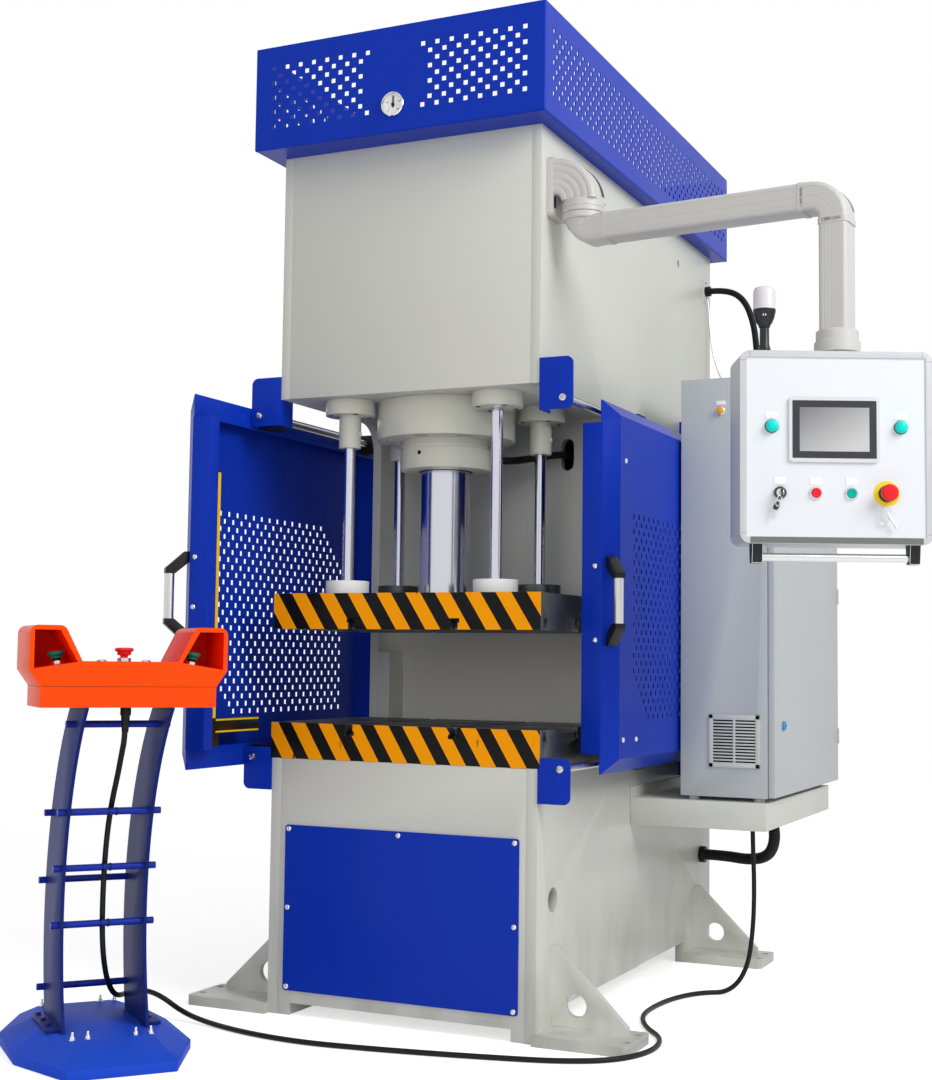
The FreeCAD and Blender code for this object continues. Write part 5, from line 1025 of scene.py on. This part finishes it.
mount = slab(bmesh.new(), oblong(0.0475, 0.075, 0.012, x=-0.5825, y=2.075), 0.367, 0.385, rightward)
eased(mount, 0.0020)
profiled(mount, Matrix.Translation((0.0, -0.585, 0.0)), quarter(0.385, 2.035, 0.063, 90, -1), 0.045, 0.0445,
         (-0.026, -0.008, 0.010, 0.028), 0.010)
turn(mount, [(0.0, 2.0045), (0.05, 2.0045), (0.052, 2.0065), (0.052, 2.015), (0.0508, 2.016),
             (0.0508, 2.0175), (0.052, 2.0185), (0.052, 2.029), (0.0505, 2.0305), (0.0505, 2.035),
             (0.049, 2.0365), (0.0, 2.0365)], Matrix.Translation((0.448, -0.585, 0.0)), 56)
band(mount, seat_at((0.385, -0.557, 2.035), (0, -1, 0)), 0.107, 0.1092, 8, 80, 0.0, 0.016, 1)
slab(mount, oblong(0.0055, 0.007, 0.002, x=-0.6165, y=2.136), 0.3845, 0.3862, rightward, 1)
slab(mount, oblong(0.0075, 0.016, 0.007, x=-0.617, y=2.035), 0.3845, 0.3862, rightward, 1)
built("arm_mount_elbow", mount, [arm_silver, gear_dark], "press", "arm_aluminium", "arm_wall_mount")

ARM = Matrix.Translation((0.448, -0.585, 0.0)) @ Matrix.Rotation(math.radians(-5.7), 4, "Z")
lines = (-0.019, -0.002, 0.021)
boom = bmesh.new()
profiled(boom, ARM, [(0.0, 2.000, -90)] + quarter(0.042, 2.000, 0.042, 180, 1)[1:-1]
         + [(0.042, 1.962, 0), (0.072, 1.962, 0)], 0.0340, 0.0372, lines, 0.014)
profiled(boom, ARM, [(0.070, 1.962, 0), (0.585, 1.962, 0)], 0.0325, 0.0365, lines)
profiled(boom, ARM, [(0.566, 1.962, 0)] + quarter(0.587, 1.909, 0.053, 90, -1) + [(0.640, 1.898, -90)],
         0.0338, 0.0375, lines, 0.011)
profiled(boom, ARM, [(0.640, 1.900, -90), (0.640, 1.640, -90)], 0.0325, 0.0365, lines)
for path in ([(0.066, 1.962, 0), (0.078, 1.962, 0)], [(0.560, 1.962, 0), (0.572, 1.962, 0)],
             [(0.640, 1.906, -90), (0.640, 1.894, -90)]):
    profiled(boom, ARM, path, 0.0352, 0.0375, (), 0.011)
band(boom, ARM @ seat_at((0.587, 0.0305, 1.909), (0, -1, 0)), 0.086, 0.0874, 12, 72, 0.0, 0.014, 1)
turn(boom, [(0.0, 1.97), (0.038, 1.97), (0.044, 1.986), (0.0505, 1.988), (0.052, 1.99), (0.052, 2.002),
            (0.0505, 2.0035), (0.0, 2.0035)], ARM, 56)
turn(boom, [(0.0, 1.6), (0.0505, 1.6), (0.0515, 1.601), (0.0515, 1.624), (0.05, 1.626), (0.0475, 1.627),
            (0.0475, 1.648), (0.0455, 1.651), (0.0425, 1.653), (0.0, 1.653)],
     ARM @ Matrix.Translation((0.640, 0.0, 0.0)), 56)
built("arm_boom_tube", boom, [arm_silver, groove_grey], "arm", "arm_aluminium", "arm_boom", smooth=30)

# ---------------- control panel
# A white front in a rounded aluminium frame with corner caps, on a shallow steel case. A grip bar
# runs below it between two black ends.
PANEL = Matrix.Translation((1.08484, -0.64856, 0.0)) @ Matrix.Rotation(math.radians(25), 4, "Z")
to_panel = PANEL.inverted()
panel_face = -0.062


def face_seat(x, z):
    """Give a seat on the panel's front, whose Z points out of it."""
    return PANEL @ seat_at((x, panel_face, z), (0, -1, 0))


frame_silver = plated("frame_silver", "C6C7CA", 0.34, shift=0.03, brushed=(1, 1, 0.02), scale=500)
case_grey = paint("case_grey", "C9CBCC", roughness=0.35, shift=0.03)
front_white = paint("front_white", "DDE1E6", roughness=0.45, shift=0.012, peel=0.00004)
# The dark grey of the strip below the front is painted shade.
strip_grey = paint("strip_grey", "6F716E", roughness=0.4, shift=0.04)
rim_depth = 0.0645


def one_side(edge):
    """Tell whether an edge lies wholly on the case's front or wholly on its back."""
    depths = [(to_panel @ vert.co).y for vert in edge.verts]
    return max(depths) < -rim_depth or min(depths) > rim_depth


case = own_copy("control_panel_case")
skinned(case, face=lambda spot, way: 0 if (to_panel @ spot).y < -rim_depth else 3)
eased(case, 0.0045, 4, above=60, only=one_side)
rim = PANEL @ seat_at((0.0, -0.065, 0.0), (0, -1, 0))
for x in (-0.208, 0.172):
    for z in (1.1745, 1.5865):
        slab(case, oblong(0.0004, 0.0066, x=x, y=z), -0.001, 0.00015, rim, 1)
for x in (-0.2225, 0.1865):
    for z in (1.189, 1.572):
        slab(case, oblong(0.0066, 0.0004, x=x, y=z), -0.001, 0.00015, rim, 1)
# A dark grey strip along the bottom of the frame is painted shade on its rounded lower edge, which faces
# down.
slab(case, oblong(0.189, 0.0068, 0.002, x=-0.018, y=1.1745), -0.001, 0.0004, rim, 2)
built("panel_case", case, [frame_silver, groove_grey, strip_grey, case_grey], "panel", "panel_metal",
      "control_panel_case")
built("panel_front", own_copy("control_panel_front"), [front_white], "panel", "panel_white",
      "control_panel_front")

# The touch screen has a pale rounded bezel round a black border. The glass is grey, lighter towards the right
# and the bottom, as a painted reflection.
bezel_grey = moulded("bezel_grey", "D4D5D8", 0.35, shift=0.02)
screen_black = moulded("screen_black", "33363B", 0.3, shift=0.03, coat=0.3)
glass = Finish("screen_glass")
painted_reflection = glass.clamped((glass.axis("X") - 1.0) * 3.6 + (1.475 - glass.axis("Z")) * 5.5, 0.0, 1.0)
glass.set(base_color=glass.between(painted_reflection, colour("666668"), colour("C3C3C4")),
          roughness=0.36 + glass.noise(5) * 0.04, specular_ior_level=0.15)
view = face_seat(-0.023, 1.419)
screen = slab(bmesh.new(), oblong(0.1, 0.073, 0.011), -0.03, 0.006, view)
eased(screen, 0.0022, 3, above=60)
slab(screen, oblong(0.0925, 0.064, 0.0015), 0.0, 0.0062, view, 1)
slab(screen, oblong(0.0765, 0.0487), 0.0, 0.0064, view, 2)
built("touch_screen", screen, [bezel_grey, screen_black, glass.material], "panel", "screen_glass",
      "hmi_screen")

grip = own_copy("panel_handle")
skinned(grip, face=lambda spot, way: 1 if abs((to_panel @ spot).x + 0.018) > 0.1605 else 0)
built("panel_grip", eased(grip, 0.0012), [satin, handle_black], "panel", "handle_metal", "panel_handle")

# ---------------- lamps and buttons of the panel
# Two teal lamps stand beside the screen. Below it are a key switch, a red and a green button and a
# mushroom stop button on a yellow disc, each under a blank white tag.
teal = moulded("lamp_teal", "00DCCF", 0.25, shift=0.05, coat=0.2, specular=0.1)
signal_green = moulded("signal_green", "00A59B", 0.3, shift=0.06, coat=0.1, specular=0.1)
signal_red = moulded("signal_red", "E32228", 0.3, shift=0.06, coat=0.15, specular=0.15)
signal_yellow = moulded("signal_yellow", "F2D22A", 0.4, shift=0.04)
button_row, lamp_row, stop_x = 1.2785, 1.4255, 0.092
bezels = bmesh.new()
for x in (-0.160, 0.124):
    turn(bezels, [(0.0, -0.004), (0.0152, -0.004), (0.0152, 0.0035), (0.0142, 0.0048), (0.0, 0.0048)],
         face_seat(x, lamp_row), 32, 1)
    turn(bezels, [(0.0, 0.0048), (0.0138, 0.0048), (0.0138, 0.009), (0.0125, 0.013), (0.0095, 0.016),
                  (0.0055, 0.0176), (0.0, 0.018)], face_seat(x, lamp_row), 32, 2)
    slab(bezels, oblong(0.0135, 0.0075, 0.0006), 0.0, 0.001, face_seat(x, 1.4500), 3)
for x in (-0.063, 0.015):
    turn(bezels, [(0.0112, 0.0), (0.0148, 0.0), (0.0148, 0.0028), (0.0138, 0.004), (0.0112, 0.0042),
                  (0.0112, 0.0)], face_seat(x, button_row), 32, 0)
for x in (-0.142, -0.063, 0.015):
    slab(bezels, oblong(0.0125, 0.008, 0.0006), 0.0, 0.001, face_seat(x, 1.3050), 3)
turn(bezels, [(0.0112, 0.0), (0.0285, 0.0), (0.0285, 0.0012), (0.0278, 0.0016), (0.0112, 0.0016),
              (0.0112, 0.0)], face_seat(stop_x, button_row), 44, 4)
turn(bezels, [(0.015, 0.0016), (0.0185, 0.0016), (0.0185, 0.008), (0.015, 0.008), (0.015, 0.0016)],
     face_seat(stop_x, button_row), 32, 1)
built("panel_lamp_set", bezels, [bright_ring, gear_dark, teal, tag_white, signal_yellow], "panel",
      "signal_green", "panel_lamps")
for name, node, body, x, finish, slot in (
        ("green_button", "start_button", "start", 0.015, signal_green, "signal_green"),
        ("red_button", "stop_button", "stop", -0.063, signal_red, "signal_red")):
    knob = turn(bmesh.new(), [(0.0, -0.024), (0.0108, -0.024), (0.0108, 0.0068), (0.01, 0.008),
                              (0.0075, 0.008), (0.005, 0.0072), (0.0, 0.007)], face_seat(x, button_row), 32)
    built(name, knob, [finish], body, slot, node)
halt_seat = face_seat(stop_x, button_row)
halt = turn(bmesh.new(), [(0.0, -0.024), (0.0108, -0.024), (0.0108, 0.019), (0.015, 0.02), (0.018, 0.023),
                          (0.019, 0.0255), (0.019, 0.03), (0.0178, 0.0345), (0.015, 0.0372), (0.0095, 0.038),
                          (0.0, 0.038)], halt_seat, 40)
built("panel_mushroom", halt, [signal_red], "panel_stop", "signal_red", "panel_estop")
key_seat = face_seat(-0.142, button_row)
key = turn(bmesh.new(), [(0.0, -0.024), (0.0108, -0.024), (0.0108, 0.0), (0.0138, 0.0), (0.014, 0.001),
                         (0.014, 0.0045), (0.0125, 0.006), (0.0098, 0.006), (0.0094, 0.0045), (0.0, 0.0045)],
           key_seat, 32, 1)
turn(key, [(0.0, 0.0045), (0.0088, 0.0045), (0.0088, 0.0058), (0.0078, 0.0064), (0.0, 0.0064)], key_seat, 28)
upright = key_seat @ Matrix.Rotation(math.radians(90), 4, "Y")
slab(key, oblong(0.0055, 0.004, 0.001, x=-0.011), -0.0011, 0.0011, upright)
slab(key, oblong(0.008, 0.011, 0.006, x=-0.0228), -0.0016, 0.0016, upright, 1)
hanging = (key_seat @ Matrix.Translation((-0.0100, -0.0300, 0.0120))
           @ Matrix.Rotation(math.radians(-22), 4, "Z"))
slab(key, oblong(0.006, 0.0095, 0.005), -0.0014, 0.0014, hanging, 1)
slab(key, oblong(0.0022, 0.011, 0.001, x=0.0018, y=-0.019), -0.0009, 0.0009, hanging)
built("keys", eased(key, 0.0003), [bright_ring, gear_dark], "key", "key_metal", "key_switch")
for name, body, points, radius in (("key_ring", "key", [(-0.142, -0.026, 1.276), (-0.150, -0.024, 1.270),
                                                        (-0.156, -0.018, 1.256), (-0.152, -0.014, 1.246),
                                                        (-0.146, -0.013, 1.250), (-0.142, -0.018, 1.262),
                                                        (-0.141, -0.025, 1.274)], 0.0009),
                                   ("pull_loop", "panel",
                                    [(0.092, -0.012, 1.252), (0.082, -0.010, 1.244), (0.074, -0.008, 1.226),
                                     (0.076, -0.007, 1.212), (0.086, -0.007, 1.210), (0.094, -0.008, 1.222),
                                     (0.099, -0.010, 1.240), (0.094, -0.012, 1.252)], 0.0012),
                                   ("pull_toggle", "panel",
                                    [(0.090, -0.013, 1.236), (0.096, -0.013, 1.226), (0.106, -0.013, 1.210),
                                     (0.112, -0.013, 1.200)], 0.0030)):
    wire = smooth_line(name, [PANEL @ Vector((x, panel_face + y, z)) for x, y, z in points], 0)
    settled(grown(wire, ribbing, {"Radius": radius, "Rib": 0.0, "Pitch": 0.006, "Material": bright_ring}),
            body, "key_metal")

# ---------------- signal beacon
# A white lens on a black funnel and stem, screwed to the top of the panel.
beacon_black = moulded("beacon_black", "1D2022", 0.38, coat=0.3)
lens_white = moulded("lens_white", "D6D4D9", 0.3, shift=0.02, grain=120, coat=0.5)
post = PANEL @ Matrix.Translation((-0.164, 0.0, 0.0))
beacon = turn(bmesh.new(), [(0.0, 1.593), (0.027, 1.593), (0.027, 1.5965), (0.0255, 1.598), (0.0185, 1.6),
                            (0.015, 1.604), (0.0125, 1.614), (0.0108, 1.619), (0.0105, 1.656), (0.013, 1.659),
                            (0.0135, 1.663), (0.0175, 1.668), (0.0222, 1.679), (0.0245, 1.69),
                            (0.0255, 1.693), (0.0255, 1.6985), (0.0, 1.6985)], post, 40)
for angle in (-4, 8):
    spun = Matrix.Rotation(math.radians(angle - 102), 4, "Z")
    pip_seat = post @ spun @ seat_at((0.0232, 0.0, 1.6835), (1, 0, 0.1))
    slab(beacon, oblong(0.0014, 0.003), -0.001, 0.0004, pip_seat, 2)
turn(beacon, [(0.0, 1.6985), (0.025, 1.6985), (0.025, 1.738), (0.0236, 1.7445), (0.02, 1.7485), (0.015, 1.75),
              (0.0, 1.75)], post, 40, 1)
built("beacon_light", beacon, [beacon_black, lens_white, bright_ring], "panel", "lamp_white", "signal_beacon")

# ---------------- stand of the console
# Two curved plate legs stand on an eight-sided base, joined by round rungs, all painted blue. Nuts
# and studs stand in pairs on the corners of the base.
STAND = Matrix.Translation((-0.537, -1.147, 0.0)) @ Matrix.Rotation(math.radians(50), 4, "Z")
to_stand = STAND.inverted()
stand_blue = paint("stand_blue", "2450D0", roughness=0.5, shift=0.05, specular=0.05)
leg_blue = paint("leg_blue", "1C2A72", roughness=0.42, shift=0.05, specular=0.04)
rung_blue = paint("rung_blue", "152E9C", roughness=0.32, shift=0.05, specular=0.15)
softened("stand_foot", "stand_base", 0.0025, [stand_blue], "press", "guard_blue")
legs = skinned(own_copy("stand_legs"), part=lambda low, high: 0 if high.z - low.z > 0.5 else 1)
built("stand_frame", eased(legs, 0.0010, above=50), [leg_blue, rung_blue], "press", "guard_blue",
      "stand_legs")
stud = turn(bmesh.new(), [(0.0, 0.0), (0.0072, 0.0), (0.0072, 0.0012), (0.0056, 0.0014), (0.0056, 0.007),
                          (0.0048, 0.008), (0.003, 0.0082), (0.003, 0.0165), (0.0024, 0.0175), (0.0, 0.0178)],
            sides=12)
stud = made_of("stud", stud, [], 40)
pairs = [(x + shift, y) for x, y in ((-0.070, -0.186), (0.070, -0.186), (-0.070, 0.186), (0.070, 0.186))
         for shift in (-0.017, 0.017)]
screwed("stand_studs", stud, bright_ring, [(STAND @ Vector((x, y, 0.060)), (0, 0, 1)) for x, y in pairs])
flange_bolt = screw_head("flange_bolt", 0.0065, 0.005, 0.0025, domed=False, sides=6)
bolts = [(STAND @ Vector((side * 0.116, 0.008 + y, 0.068)), (0, 0, 1)) for side in (-1, 1)
         for y in (-0.062, 0.0, 0.062)]
screwed("leg_bolts", flange_bolt, rung_blue, bolts, slot="guard_blue")
ties = bmesh.new()
along = Vector((math.cos(math.radians(50)), math.sin(math.radians(50)), 0.0))
for bar, cord in (((-0.4625, -1.2096, 0.548), (-0.474, -1.191)),
                  ((-0.4889, -1.1874, 0.418), (-0.501, -1.1725)),
                  ((-0.4943, -1.1829, 0.290), (-0.507, -1.167))):
    bar, cord = Vector(bar), Vector((*cord, bar[2]))
    cross = bar + along * (cord - bar).dot(along)
    for shift in (-0.009, 0.009):
        turn(ties, [(0.0079, -0.0018), (0.0094, -0.0018), (0.0094, 0.0018), (0.0079, 0.0018),
                    (0.0079, -0.0018)], seat_at(cross + along * shift, along), 20)
    turn(ties, [(0.0064, -0.002), (0.008, -0.002), (0.008, 0.002), (0.0064, 0.002), (0.0064, -0.002)],
         Matrix.Translation(cord), 20)
    gap = cord - cross
    reach = gap.length / 2
    slab(ties, oblong(0.01, 0.0018), 0.006 - reach, reach - 0.004, seat_at((cross + cord) / 2, gap))
built("cable_ties", ties, [black_rubber], "press", "cable_rubber")

# ---------------- two-hand console
# An orange moulded box with a hood over each green palm button, so that neither is pressed by
# chance, and a stop button between two lamps.
console_orange = moulded("console_orange", "FF4A00", 0.38, shift=0.04, grain=420, depth=0.00004, coat=0.08,
                         specular=0.1)
# The inside of each hood is a darker red than the shell: painted shade.
hood_red = moulded("hood_red", "F02000", 0.45, shift=0.08, grain=420, specular=0.1)
seam_red = moulded("seam_red", "A03000", 0.6)


def console_skin(spot, way):
    """Pick the inside of the hoods, whose floor, walls and roof lie inside the shell, for the darker red of
    painted shade.
    """
    x, y, z = to_stand @ spot
    inside = 0.114 < abs(x) < 0.2105 and -0.269 < y < -0.1245 and 0.862 < z < 0.9595
    return 1 if inside else 0


ring_reach = 0.0172
console = own_copy("console_body")
skinned(console, face=console_skin)
for each in console.faces:
    spots = [to_stand @ vert.co for vert in each.verts]
    for x, y in ((-0.150, -0.210), (0.0, -0.200), (0.150, -0.210)):
        if all((spot.x - x) ** 2 + (spot.y - y) ** 2 < ring_reach ** 2 and spot.z > 0.878 for spot in spots):
            each.material_index = 2
eased(console, 0.0035, 3, above=50, only=lambda edge: edge.link_faces[0].material_index != 2
      and edge.link_faces[1].material_index != 2
      and all(not 0.03 < vert.co.z - 0.85 < 0.05 or abs((to_stand @ vert.co).x) > 0.172
              or abs((to_stand @ vert.co).x) < 0.128 for vert in edge.verts))
slab(console, oblong(0.1953, 0.0803, 0.0035, y=-0.19), 0.8352, 0.8366, STAND, 3)
built("console_shell", console, [console_orange, hood_red, bright_ring, seam_red], "press", "console_orange",
      "console_body", smooth=40)
palm_green = moulded("palm_green", "148068", 0.34, shift=0.06, coat=0.15, specular=0.15)
shank_black = moulded("shank_black", "151618", 0.4)
for word, side in (("left", -1), ("right", 1)):
    palm_seat = (STAND @ Matrix.Translation((side * 0.150, -0.210, 0.88403))
                 @ Matrix.Rotation(math.radians(9 * side), 4, "Y"))
    palm = turn(bmesh.new(), [(0.0, -0.02), (0.0086, -0.02), (0.0086, 0.014), (0.0, 0.014)], palm_seat, 28, 1)
    turn(palm, [(0.0, 0.0138), (0.0125, 0.0138), (0.013, 0.0148), (0.0133, 0.0178), (0.015, 0.0195),
                (0.0182, 0.0215), (0.0195, 0.0245), (0.0195, 0.0275), (0.0184, 0.029), (0.0165, 0.0288),
                (0.01, 0.0276), (0.0, 0.0272)], palm_seat, 36)
    built(word + "_palm_button", palm, [palm_green, shank_black], "palm_" + word, "signal_green",
          "palm_button_" + word)
halt_seat = STAND @ Matrix.Translation((0.0, -0.200, deck))
halt = turn(bmesh.new(), [(0.0, -0.02), (0.0086, -0.02), (0.0086, 0.013), (0.015, 0.015), (0.0156, 0.016),
                          (0.0158, 0.0215), (0.02, 0.0235), (0.021, 0.025), (0.021, 0.028), (0.0196, 0.0302),
                          (0.0165, 0.031), (0.0, 0.031)], halt_seat, 40)
turn(halt, [(0.0, 0.0309), (0.015, 0.0309), (0.0148, 0.0313), (0.0, 0.0313)], halt_seat, 36, 1)
turn(halt, [(0.0, 0.0312), (0.0085, 0.0312), (0.0083, 0.0316), (0.0, 0.0316)], halt_seat, 28)
built("console_mushroom", halt, [signal_red, signal_yellow], "console_stop", "signal_red", "console_estop")

# ---------------- pump unit in the head
# A motor with its pump and a steel valve block, seen only through the holes of the top guard.
motor_green = paint("motor_green", "5D6B70", roughness=0.45, shift=0.08)
valve_steel = machined("valve_steel", "8D9294", 0.3)
softened("motor_and_pump", "pump_motor", 0.0030, [motor_green], "press", "motor_paint")
softened("valve_manifold", "valve_block", 0.0020, [valve_steel], "press", "valve_steel")
